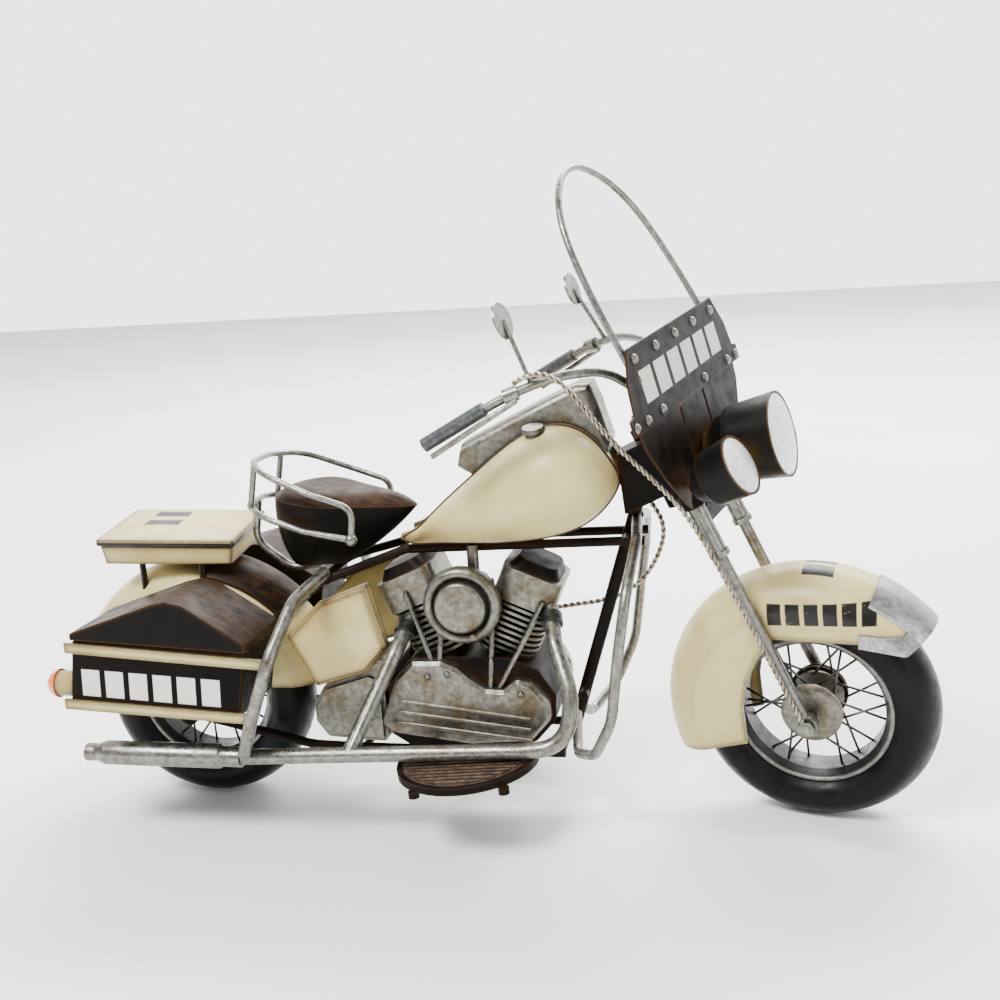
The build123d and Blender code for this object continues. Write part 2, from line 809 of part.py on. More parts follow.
crash_right = [
    Vector(62.6, -3.6, 124.6),
    Vector(64.0, -22.0, 121.0),
    Vector(61.6, -46.0, 106.0),
    Vector(58.0, -50.0, 82.0),
    Vector(54.6, -48.0, 56.0),
    Vector(46.6, -40.0, 38.6),
    Vector(37.0, -22.0, 31.0),
    Vector(34.4, -4.0, 41.0),
]
crash_left = [mirrored(point) for point in crash_right]
crash_bends = [10.0, 18.0, 40.0, 24.0, 14.0, 8.0]
with BuildPart() as crash_bar:
    add(tube_through(crash_right, crash_bar_radius, crash_bends))
    add(tube_through(crash_left, crash_bar_radius, crash_bends))
keep("crash_bar", crash_bar.part)

guard_route = [
    Vector(-65.0, -21.0, 107.6),
    Vector(-70.6, -44.0, 102.0),
    Vector(-75.4, -63.4, 83.6),
    Vector(-85.2, -62.8, 58.6),
    Vector(-93.6, -54.4, 41.0),
]
right_guard = tube_through(guard_route, guard_radius, [14.0, 16.0, 30.0])
keep("rear_guards", both_sides(right_guard))

stand_pivot = Vector(-16.0, 22.0, 28.4)
stand_foot = Vector(-6.0, 56.0, 1.6)
with BuildPart() as kickstand:
    run = stand_foot - stand_pivot
    with BuildSketch(Plane(origin=stand_pivot, z_dir=run)):
        Circle(2.0)
    extrude(amount=run.length)
    with Locations(stand_pivot):
        Sphere(3.2)
    with BuildSketch(Plane.XY):
        with Locations((stand_foot.X, stand_foot.Y)):
            Ellipse(8.0, 4.6)
    extrude(amount=2.4)
keep("kickstand", kickstand.part)


# ---------------------------------------------------------------- engine
def cylinder_plane(lean):
    """The plane across a cylinder at the crankshaft: x runs forward, z up the bore."""
    tip = radians(lean)
    return Plane(
        origin=(crank_x, 0, crank_z), x_dir=(cos(tip), 0, -sin(tip)), z_dir=(sin(tip), 0, cos(tip))
    )


fin_count = 9
fin_first = 33.4
fin_pitch = 2.6
head_at = 56.6
head_height = 14.0
head_length = 26.0
head_width = 30.0
cover_height = 4.4
bores = [cylinder_plane(lean) for lean in (-cylinder_lean, cylinder_lean)]

with BuildPart() as cylinders:
    for bore in bores:
        with BuildSketch(bore.offset(fin_first - 4.0)):
            Circle(10.0)
        extrude(amount=head_at - fin_first + 4.0)
        for index in range(fin_count):
            with BuildSketch(bore.offset(fin_first + index * fin_pitch)):
                RectangleRounded(26.0, 29.0, 9.0)
            extrude(amount=1.2)
        with BuildSketch(bore.offset(head_at)):
            RectangleRounded(head_length, head_width, 5.0)
        extrude(amount=head_height)
keep("cylinders", cylinders.part)

with BuildPart() as rocker_boxes:
    for bore in bores:
        with BuildSketch(bore.offset(head_at + head_height)):
            RectangleRounded(head_length - 4.0, head_width - 4.0, 5.0)
        with BuildSketch(bore.offset(head_at + head_height + cover_height)):
            RectangleRounded(head_length - 9.0, head_width - 8.0, 5.0)
        loft()
keep("rocker_boxes", rocker_boxes.part)

crankcase_outline = [(-43, 37), (-42, 58), (-32, 69), (-24, 71), (10, 71), (22, 66), (29, 55)]
crankcase_outline += [(28, 44), (20, 35), (8, 31.4), (-34, 31.4)]
with BuildPart() as crankcase:
    with BuildSketch(Plane.XZ.offset(-20.0)) as case_plan:
        Polygon(*crankcase_outline, align=None)
        fillet(case_plan.vertices(), 3.0)
    extrude(amount=40.0)
keep("crankcase", crankcase.part)

cover_outline = [(-44.5, 42.8), (-36.9, 63.3), (-29.7, 70.4), (-17.5, 70.6), (-10.5, 67.6), (-6, 63.4)]
cover_outline += [(0.6, 59.0), (8, 58.6), (13.9, 63.4), (20, 61.6), (26.6, 54), (27, 46.5)]
cover_outline += [(18.6, 37.1), (-6.4, 35), (-40.6, 39.1)]
cover_face = 26.0
with BuildPart() as gear_cover:
    with BuildSketch(Plane.XZ.offset(20.0)) as cover_plan:
        Polygon(*cover_outline, align=None)
        fillet(cover_plan.vertices(), 2.4)
    extrude(amount=cover_face - 20.0)
    chamfer(gear_cover.faces().sort_by(Axis.Y)[0].edges(), 1.4)
    for drop in (0.0, 4.6, 9.2):
        start = Vector(-35.0 - drop / 2, -cover_face + 0.4, 53.4 - drop)
        end = Vector(18.8, -cover_face + 0.4, 46.8 - drop)
        place, length = span(start, end)
        with Locations(place):
            Cylinder(1.1, length, align=(Align.CENTER, Align.CENTER, Align.MIN))
    with Locations((-23.0, -cover_face, 64.6), (-14.6, -cover_face, 65.6), (15.6, -cover_face, 57.6)):
        Sphere(1.4)
keep("gear_cover", gear_cover.part)

with BuildPart() as primary_cover:
    with BuildSketch(Plane.XZ.offset(-28.0)):
        with BuildLine():
            Polyline((-58, 33.0), (12, 33.0))
            ThreePointArc((12, 33.0), (29, 50.0), (12, 67.0))
            Polyline((12, 67.0), (-58, 61.0))
            ThreePointArc((-58, 61.0), (-71.6, 47.0), (-58, 33.0))
        make_face()
    extrude(amount=8.0)
    fillet(primary_cover.faces().sort_by(Axis.Y)[-1].edges(), 3.0)
    with BuildSketch(Plane.XZ.offset(-30.0)):
        with Locations((10, 50.0)):
            Circle(10.5)
    extrude(amount=3.0)
    with BuildSketch(Plane.XZ.offset(-29.2)):
        with Locations((-52, 47.0)):
            Circle(7.0)
    extrude(amount=2.0)
keep("primary_cover", primary_cover.part)

gearbox_outline = [(-43.4, 33.4), (-43.4, 62.0), (-50, 64.4), (-70, 58.0), (-75.0, 50.0), (-75.0, 42.0)]
gearbox_outline += [(-70, 35.0)]
with BuildPart() as gearbox:
    with BuildSketch(Plane.XZ.offset(-19.6)) as box_plan:
        Polygon(*gearbox_outline, align=None)
        fillet(box_plan.vertices(), 2.4)
    extrude(amount=41.0)
    with BuildSketch(Plane.XZ.offset(21.0)):
        Polygon(*gearbox_outline, align=None)
        offset(amount=-1.8, kind=Kind.INTERSECTION, mode=Mode.REPLACE)
    extrude(amount=1.6)
keep("gearbox", gearbox.part)

pushrod_ends = [
    ((-33.0, -15.4, 97.0), (-22.0, -21.6, 70.0)),
    ((-17.6, -14.2, 92.0), (-18.6, -21.6, 70.2)),
    ((3.4, -14.2, 92.0), (2.2, -21.6, 58.6)),
    ((24.6, -15.2, 93.0), (6.0, -21.6, 58.4)),
]
keep("pushrod_tubes", rods(pushrod_ends, 1.1))

air_x = -6.6
air_z = 94.8
with BuildPart() as air_cleaner:
    with BuildSketch(Plane(origin=(air_x, 0, air_z), x_dir=(1, 0, 0), z_dir=(0, 0, 1))):
        with BuildLine():
            Polyline((0, -19.2), (13.4, -19.2), (15.2, -20.6), (15.8, -22.4), (15.8, -25.0))
            ThreePointArc((15.8, -25.0), (14.2, -27.8), (11.6, -26.8))
            Polyline((11.6, -26.8), (10.9, -26.2), (10.6, -28.6))
            ThreePointArc((10.6, -28.6), (10.1, -30.0), (8.8, -30.5))
            Polyline((8.8, -30.5), (0, -30.8), (0, -19.2))
        make_face()
    revolve(axis=Axis((air_x, 0, air_z), (0, 1, 0)))
    with BuildSketch(Plane.XZ.offset(22.0)):
        with Locations((air_x + 4.5, air_z - 12.4)):
            Circle(1.2)
    extrude(amount=6.6)
    with BuildSketch(Plane.XZ.offset(-6.0)):
        with Locations((air_x, air_z)):
            Circle(5.6)
    extrude(amount=25.6)
    place, length = span((-14.6, 0, air_z), (0.8, 0, air_z))
    with Locations(place):
        Cylinder(4.0, length, align=(Align.CENTER, Align.CENTER, Align.MIN))
    place, length = span((-3.6, -13.6, air_z + 2.0), (-3.6, -13.6, 117.0))
    with Locations(place):
        Cylinder(2.4, length, align=(Align.CENTER, Align.CENTER, Align.MIN))
keep("air_cleaner", air_cleaner.part)

# ---------------------------------------------------------------- exhaust and footboards
muffler_front = Vector(-96.8, -50.0, 37.8)
front_pipe = [
    Vector(26.6, -10.0, 91.0),
    Vector(30.4, -26.0, 79.4),
    Vector(38.4, -38.6, 62.0),
    Vector(35.6, -42.6, 43.0),
    Vector(18.0, -44.8, 41.6),
    muffler_front,
]
rear_pipe = [Vector(-31.6, -10.0, 86.4), Vector(-35.6, -26.0, 75.4), Vector(-51.6, -47.4, 40.0)]
collar_radius = 4.4
with BuildPart() as exhaust_pipes:
    add(tube_through(front_pipe, pipe_radius, [9.0, 22.0, 13.0, 9.0]))
    add(tube_through(rear_pipe, pipe_radius, [14.0]))
    for start, end in ((front_pipe[0], front_pipe[1]), (rear_pipe[0], rear_pipe[1])):
        along = (end - start).normalized()
        place, length = span(start + along * 6.0, start + along * 11.0)
        with Locations(place):
            Cylinder(collar_radius, length, align=(Align.CENTER, Align.CENTER, Align.MIN))
keep("exhaust_pipes", exhaust_pipes.part)

with BuildPart() as muffler:
    with BuildSketch(Plane(origin=muffler_front, x_dir=(0, 1, 0), z_dir=(0, 0, 1))):
        with BuildLine():
            Polyline((0, 0), (4.2, 0), (4.2, 8.0), (5.0, 9.4), (5.0, 60.0))
            Spline((5.0, 60.0), (4.4, 62.6), (3.6, 64.4), tangents=((0, 1), (-0.5, 1)))
            Polyline((3.6, 64.4), (3.8, 69.6), (2.6, 69.9), (2.5, 62.0), (0, 62.0), (0, 0))
        make_face()
    revolve(axis=Axis(muffler_front, (-1, 0, 0)))
keep("muffler", muffler.part)

board_centre = Vector(-5.0, -37.6, 32.4)
board_tilt = 5.0
board_half = 29.0
board_depth = 28.6
board_plane = Plane(
    origin=board_centre,
    x_dir=(cos(radians(board_tilt)), 0, sin(radians(board_tilt))),
    z_dir=(-sin(radians(board_tilt)), 0, cos(radians(board_tilt))),
)


def half_moon(half, depth, inset):
    """The plan of a footboard: straight along the bike and round on its outer side."""
    with BuildSketch(Plane.XY) as plan:
        Ellipse(half, depth)
        with Locations((0, depth - inset)):
            Rectangle(3 * half, 2 * depth, mode=Mode.SUBTRACT)
    return plan.sketch


with BuildPart() as right_board:
    with BuildSketch(board_plane):
        add(half_moon(board_half, board_depth, 0.0))
    extrude(amount=2.0)
    with BuildSketch(board_plane.offset(2.0)):
        add(half_moon(board_half, board_depth, 0.0))
        add(half_moon(board_half - 2.2, board_depth - 2.2, 2.2), mode=Mode.SUBTRACT)
    extrude(amount=1.0)
    for x in (-17.0, 19.0):
        with BuildSketch(board_plane):
            with Locations((x, -board_depth + 6.0)):
                Circle(2.2)
        extrude(amount=-2.6)
    for x in (-20.0, 20.0):
        place, length = span((board_centre.X + x, -rail_half, 28.4), (board_centre.X + x, -41.0, 31.0))
        with Locations(place):
            Cylinder(1.6, length, align=(Align.CENTER, Align.CENTER, Align.MIN))
keep("footboards", both_sides(right_board.part))

tread_ribs = 8
with BuildPart() as right_tread:
    with BuildSketch(board_plane.offset(2.0)):
        add(half_moon(board_half - 2.5, board_depth - 2.5, 2.5))
    extrude(amount=1.0)
    with BuildSketch(board_plane.offset(2.0)):
        add(half_moon(board_half - 3.4, board_depth - 3.4, 3.4))
        for index in range(tread_ribs):
            with Locations((0, -5.4 - index * 2.8)):
                Rectangle(70.0, 1.1, mode=Mode.SUBTRACT)
    extrude(amount=1.9)
keep("footboard_treads", both_sides(right_tread.part))

side_outline = [(-83.0, 80.8), (-71.8, 59.0), (-48.7, 65.7), (-39.6, 76.4), (-46.3, 103.6), (-68.1, 95.4)]
with BuildPart() as side_cover:
    with BuildSketch(Plane.XZ.offset(20.8)):
        Polygon(*side_outline, align=None)
    extrude(amount=5.6)
    chamfer(side_cover.faces().sort_by(Axis.Y)[0].edges(), 1.6)
keep("side_covers", both_sides(side_cover.part))

# ---------------------------------------------------------------- tank and saddle
tank_middle = 9.0
tank_inner = 7.6
tank_stations = [
    (-34.0, 118.2, 121.0, 3.0),
    (-20.0, 117.4, 129.8, 11.5),
    (-3.0, 117.2, 144.6, 17.5),
    (12.0, 117.6, 156.6, 21.0),
    (25.0, 119.0, 163.8, 22.8),
    (38.0, 122.4, 164.6, 22.2),
    (48.0, 128.2, 158.6, 18.0),
    (54.6, 135.6, 149.8, 11.0),
    (57.2, 140.8, 144.2, 3.0),
]
with BuildPart() as right_tank:
    for x, low, high, half in tank_stations:
        station = Plane(origin=(x, -tank_middle, (low + high) / 2), x_dir=(0, 1, 0), z_dir=(1, 0, 0))
        with BuildSketch(station):
            Ellipse(half, (high - low) / 2)
    loft()
    with BuildSketch(Plane.XZ.offset(-40)):
        with Locations((10, 140)):
            Rectangle(120, 80)
    extrude(amount=40 + tank_inner, mode=Mode.SUBTRACT)
    with BuildSketch(Plane.XZ.offset(tank_inner - 1)):
        with Locations((10, 108)):
            Rectangle(120, 21.0)
    extrude(amount=4.6, mode=Mode.SUBTRACT)
keep("fuel_tank", both_sides(right_tank.part))

console_outline = [(-8, 149), (-6, 158), (22, 171.5), (41, 180.2), (46.5, 180.4), (49.5, 173), (54, 158)]
console_outline += [(50, 143), (2, 143)]
console_half = 11.0
with BuildPart() as tank_console:
    with BuildSketch(Plane.XZ.offset(-console_half)):
        Polygon(*console_outline, align=None)
    extrude(amount=2 * console_half)
    upper = tank_console.edges().filter_by_position(Axis.Z, 157, 181)
    fillet(upper.filter_by_position(Axis.Y, -console_half - 1, -console_half + 0.1), 4.0)
    fillet(
        tank_console.edges()
        .filter_by_position(Axis.Z, 157, 181)
        .filter_by_position(Axis.Y, console_half - 0.1, console_half + 1),
        4.0,
    )

cap_at = Vector(25.0, -16.4, 161.0)
with BuildPart() as right_cap:
    with BuildSketch(Plane(origin=cap_at, z_dir=(-0.06, -0.22, 1))):
        Circle(3.4)
    extrude(amount=2.6)
    with BuildSketch(Plane(origin=cap_at + Vector(-0.1, -0.5, 2.4), z_dir=(-0.06, -0.22, 1))):
        RegularPolygon(4.7, 12)
    extrude(amount=1.8, taper=12)
with BuildPart() as console_and_caps:
    add(tank_console.part)
    add(both_sides(right_cap.part))
    add(finished["fuel_tank"], mode=Mode.SUBTRACT)
keep("tank_console", console_and_caps.part)

seat_tilt = 7.0
seat_rim_at = Vector(-60.0, 0, 134.6)


def seat_plane(drop):
    """A plane parallel to the saddle's rim, at a distance below it."""
    tip = radians(seat_tilt)
    return Plane(
        origin=seat_rim_at, x_dir=(cos(tip), 0, -sin(tip)), z_dir=(sin(tip), 0, cos(tip))
    ).offset(-drop)


def seat_outline(rear, front, half, nose):
    """A pear-shaped outline: wide at the back, narrow at the nose."""
    middle = rear + 0.34 * (front - rear)
    with BuildSketch(Plane.XY) as plan:
        with BuildLine():
            Spline(
                (rear, 0),
                (middle, half),
                (front - 0.3 * (front - rear), nose * 1.5),
                (front, 0),
                (front - 0.3 * (front - rear), -nose * 1.5),
                (middle, -half),
                periodic=True,
            )
        make_face()
    return plan.sketch


with BuildPart() as saddle:
    for drop, rear, front, half, nose in (
        (29.0, -21.0, 0.0, 11.0, 4.0),
        (14.0, -26.5, 19.0, 20.5, 8.0),
        (0.0, -28.0, 31.0, 22.5, 8.6),
    ):
        with BuildSketch(seat_plane(drop)):
            add(seat_outline(rear, front, half, nose))
    loft()
    for drop, rear, front, half, nose in (
        (0.0, -28.0, 31.0, 22.5, 8.6),
        (-3.4, -24.0, 25.0, 18.0, 6.0),
        (-5.2, -15.0, 9.0, 9.0, 3.6),
    ):
        with BuildSketch(seat_plane(drop)):
            add(seat_outline(rear, front, half, nose))
    loft()
keep("saddle", saddle.part)

rail_end = Vector(-50.4, -26.4, 122.5)
upper_rail = [
    rail_end,
    Vector(-48.6, -27.0, 135.6),
    Vector(-66.0, -27.6, 141.6),
    Vector(-88.0, -24.0, 150.4),
    Vector(-97.0, -9.0, 152.4),
]
lower_rail = [
    rail_end,
    Vector(-70.0, -27.4, 126.4),
    Vector(-90.0, -24.0, 132.4),
    Vector(-101.0, -9.0, 134.0),
]
with BuildPart() as seat_rail:
    for half_loop, bends in ((upper_rail, 11.0), (lower_rail, 11.0)):
        loop = half_loop + [mirrored(point) for point in reversed(half_loop)]
        corners = [6.0] + [18.0] * (len(half_loop) - 3) + [bends] * 2
        corners = corners + list(reversed(corners[: len(half_loop) - 2]))
        add(tube_through(loop, rail_wire_radius, corners))
    for side in (-1, 1):
        with Locations((rail_end.X, side * rail_end.Y, rail_end.Z)):
            Sphere(2.5)
        place, length = span((-94.2, side * 14.6, 151.4), (-97.6, side * 14.6, 133.4))
        with Locations(place):
            Cylinder(rail_wire_radius, length, align=(Align.CENTER, Align.CENTER, Align.MIN))
    stem_route = [
        Vector(-100.6, 0, 134.0),
        Vector(-103.4, 0, 116.0),
        Vector(-88.0, 0, 103.6),
        Vector(-74.0, 0, 105.6),
    ]
    add(tube_through(stem_route, 1.7, [10.0, 10.0]))
keep("seat_rail", seat_rail.part)

# ---------------------------------------------------------------- luggage
trunk_length = 61.0
trunk_width = 44.0
trunk = Plane(Location((-137.5, 0.2, 123.4), (4.0, 2.5, 5.0)))
with BuildPart() as trunk_lid:
    with BuildSketch(trunk.offset(-3.0)):
        RectangleRounded(trunk_length, trunk_width, 1.2)
    extrude(amount=3.0)
    chamfer(trunk_lid.faces().sort_by(Axis.Z)[-1].edges(), 0.5)
keep("trunk_lid", trunk_lid.part)

with BuildPart() as trunk_box:
    with BuildSketch(trunk.offset(-3.0)):
        RectangleRounded(trunk_length - 2.4, trunk_width - 2.4, 1.0)
    with BuildSketch(trunk.offset(-11.4)):
        RectangleRounded(trunk_length - 5.0, trunk_width - 4.0, 1.0)
    loft()
    for x in (-150.8, -123.0):
        for y in (-14.6, 14.6):
            place, length = span((x, y, 96.0), (x, y, 114.0))
            with Locations(place):
                Cylinder(1.4, length, align=(Align.CENTER, Align.CENTER, Align.MIN))
keep("trunk_box", trunk_box.part)

bag_outline = [(-164.5, 62.0), (-91.0, 58.8), (-86.0, 85.6), (-160.0, 90.4)]
lid_outline = [(-160.6, 90.9), (-160.6, 93.6), (-124.0, 105.6), (-117.0, 107.2), (-110.0, 105.6)]
lid_outline += [(-85.2, 89.4), (-85.2, 86.1)]
keep("saddlebags", both_sides(side_plate(bag_outline, bag_inner, bag_outer)))
keep("saddlebag_lids", both_sides(side_plate(lid_outline, bag_inner - 0.6, bag_outer + 1.0)))

upper_strip = [(-163.0, 85.7), (-77.0, 79.5), (-77.0, 83.6), (-163.0, 89.9)]
lower_strip = [(-166.2, 61.7), (-87.2, 57.1), (-87.2, 61.1), (-166.2, 65.8)]
strip_thickness = 1.4
with BuildPart() as right_strips:
    add(side_plate(upper_strip, bag_outer, bag_outer + strip_thickness))
    add(side_plate(lower_strip, bag_outer, bag_outer + strip_thickness))
keep("saddlebag_strips", both_sides(right_strips.part))

tail_at = Vector(-163.0, -53.0, 69.6)
tail_radius = 6.0
base_length = 9.2
dome_height = 5.4
dome_ball = (tail_radius**2 + dome_height**2) / (2 * dome_height)
dome_middle = dome_height - dome_ball + (dome_ball**2 - (tail_radius / 2) ** 2) ** 0.5
with BuildPart() as right_base:
    with BuildSketch(Plane(origin=tail_at, x_dir=(0, 1, 0), z_dir=(-1, 0, 0))):
        Circle(tail_radius - 0.7)
    extrude(amount=base_length)
with BuildPart() as strips_and_bases:
    add(finished["saddlebag_strips"])
    add(both_sides(right_base.part))
keep("saddlebag_strips", strips_and_bases.part)

dome_at = tail_at - Vector(base_length, 0, 0)
with BuildPart() as right_tail_lamp:
    with BuildSketch(Plane(origin=dome_at, x_dir=(0, 0, 1), z_dir=(0, -1, 0))):
        with BuildLine():
            Line((0, 0), (tail_radius, 0))
            ThreePointArc((tail_radius, 0), (tail_radius / 2, dome_middle), (0, dome_height))
            Line((0, dome_height), (0, 0))
        make_face()
    revolve(axis=Axis(tail_at, (-1, 0, 0)))
keep("tail_lamps", both_sides(right_tail_lamp.part))

engine_route = [
    Vector(66.6, 4.0, 131.0),
    Vector(71.4, 4.0, 124.6),
    Vector(72.8, 4.4, 116.0),
    Vector(69.8, 4.8, 106.8),
    Vector(64.2, 5.4, 97.6),
    Vector(56.0, 6.0, 90.8),
    Vector(45.5, 6.0, 87.0),
    Vector(35.0, 5.4, 85.8),
    Vector(25.4, 5.0, 84.2),
]
engine_bends = limp_bends(engine_route)
keep("engine_cable", tube_through(engine_route, cable_radius, engine_bends))
print("engine cable bends", [round(bend, 1) for bend in engine_bends])

# ---------------------------------------------------------------- joints between pieces
trim("frame_backbone", "frame_neck")
trim("frame_downtube", "frame_neck", "frame_backbone")
trim("frame_rear_tubes", "frame_backbone", "rear_fender")
trim("crash_bar", "frame_downtube", "frame_neck")
trim("crankcase", "cylinders")
trim("gear_cover", "gearbox")
trim("pushrod_tubes", "crankcase", "gear_cover", "cylinders")
trim("muffler", "exhaust_pipes")
trim("exhaust_pipes", "cylinders")
trim("footboards", "frame_rear_tubes")
trim("footboard_treads", "footboards")
trim("fuel_tank", "frame_neck")
trim("trunk_box", "rear_fender", "fender_panel")
trim("saddlebag_strips", "rear_guards", "saddlebags")
trim("seat_rail", "rear_fender", "fender_panel", "saddle")
trim("windshield_plates", "fork_crowns", "fork_legs", "fork_sleeves", "windshield_frame")
trim("rear_guards", "frame_rear_tubes")
trim("lamp_shells", "windshield_plates", "fork_crowns")

# ---------------------------------------------------------------- how it stands
steered = ["front_tyre", "front_rim", "front_hub", "front_brake_drum", "front_spokes", "front_axle"]
steered += ["fork_legs", "fork_sleeves", "fork_crowns", "steering_stem", "front_fender", "fender_tip"]
steered += ["lamp_shells", "lamp_lenses", "windshield_plates", "windshield_rivets"]
steered += ["windshield_frame", "handlebar", "hand_grips", "hand_levers", "mirrors", "brake_cable"]
for name in steered:
    finished[name] = finished[name].rotate(steering_axis, steering_at_rest)

boxes = [part.bounding_box() for part in finished.values()]
lowest = min(box.min.Z for box in boxes)
middle_x = (min(box.min.X for box in boxes) + max(box.max.X for box in boxes)) / 2
middle_y = (min(box.min.Y for box in boxes) + max(box.max.Y for box in boxes)) / 2
shift = Vector(-middle_x, -middle_y, -lowest)
print("moved by", shift)
for name, part in finished.items():
    finished[name] = part.moved(Location(shift))



os.makedirs("parts", exist_ok=True)
for name, part in finished.items():
    part.label = name
    export_step(part, f"parts/{name}.step")
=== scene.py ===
import math

import bmesh
import bpy
from mathutils import Matrix, Vector


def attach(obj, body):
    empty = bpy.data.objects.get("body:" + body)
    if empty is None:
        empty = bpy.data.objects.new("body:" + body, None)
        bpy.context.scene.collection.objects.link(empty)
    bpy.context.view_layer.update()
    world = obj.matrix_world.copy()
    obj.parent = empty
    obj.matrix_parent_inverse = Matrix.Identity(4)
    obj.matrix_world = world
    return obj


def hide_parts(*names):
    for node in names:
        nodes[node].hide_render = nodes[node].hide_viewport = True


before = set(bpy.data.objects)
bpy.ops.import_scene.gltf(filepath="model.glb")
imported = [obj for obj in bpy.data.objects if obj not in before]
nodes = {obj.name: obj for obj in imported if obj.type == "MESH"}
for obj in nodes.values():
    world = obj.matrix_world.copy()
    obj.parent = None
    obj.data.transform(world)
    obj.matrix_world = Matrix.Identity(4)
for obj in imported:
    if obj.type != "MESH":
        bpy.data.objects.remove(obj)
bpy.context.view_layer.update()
MM = 0.001
X, Y, Z = Vector((1, 0, 0)), Vector((0, 1, 0)), Vector((0, 0, 1))

# ------------------------------------------------------------------ the drawing's own frame
# The CAD is drawn with the fork straight and the middle of the wheelbase at x = 0. These
# repeat its named sizes, to carry points of that drawing into the row frame.
SHIFT = Vector((6.64889, -2.03539, 0.0))
HALF_WHEELBASE = 131.8
WHEEL_RADIUS = 48.0
RAKE = math.radians(24.9)
FORK_OFFSET = 11.1
STEERING_AT_REST = math.radians(-13.0)
WINDSHIELD_TWIST = math.radians(-7.0)
FORK_UP = Vector((-math.sin(RAKE), 0, math.cos(RAKE)))
FORK_AHEAD = Vector((math.cos(RAKE), 0, math.sin(RAKE)))
FORK_FOOT = Vector((HALF_WHEELBASE, 0, WHEEL_RADIUS)) - FORK_AHEAD * FORK_OFFSET


def still(x, y, z):
    """A drawn point of the frame, in metres in the row frame."""
    return (Vector((x, y, z)) + SHIFT) * MM


def turned(vector, twist=0.0):
    """A drawn direction on the fork, turned to where the fork rests."""
    return Matrix.Rotation(STEERING_AT_REST + twist, 3, FORK_UP) @ Vector(vector)


def steered(x, y, z, twist=0.0):
    """A drawn point on the fork, in metres in the row frame."""
    return (FORK_FOOT + turned(Vector((x, y, z)) - FORK_FOOT, twist) + SHIFT) * MM


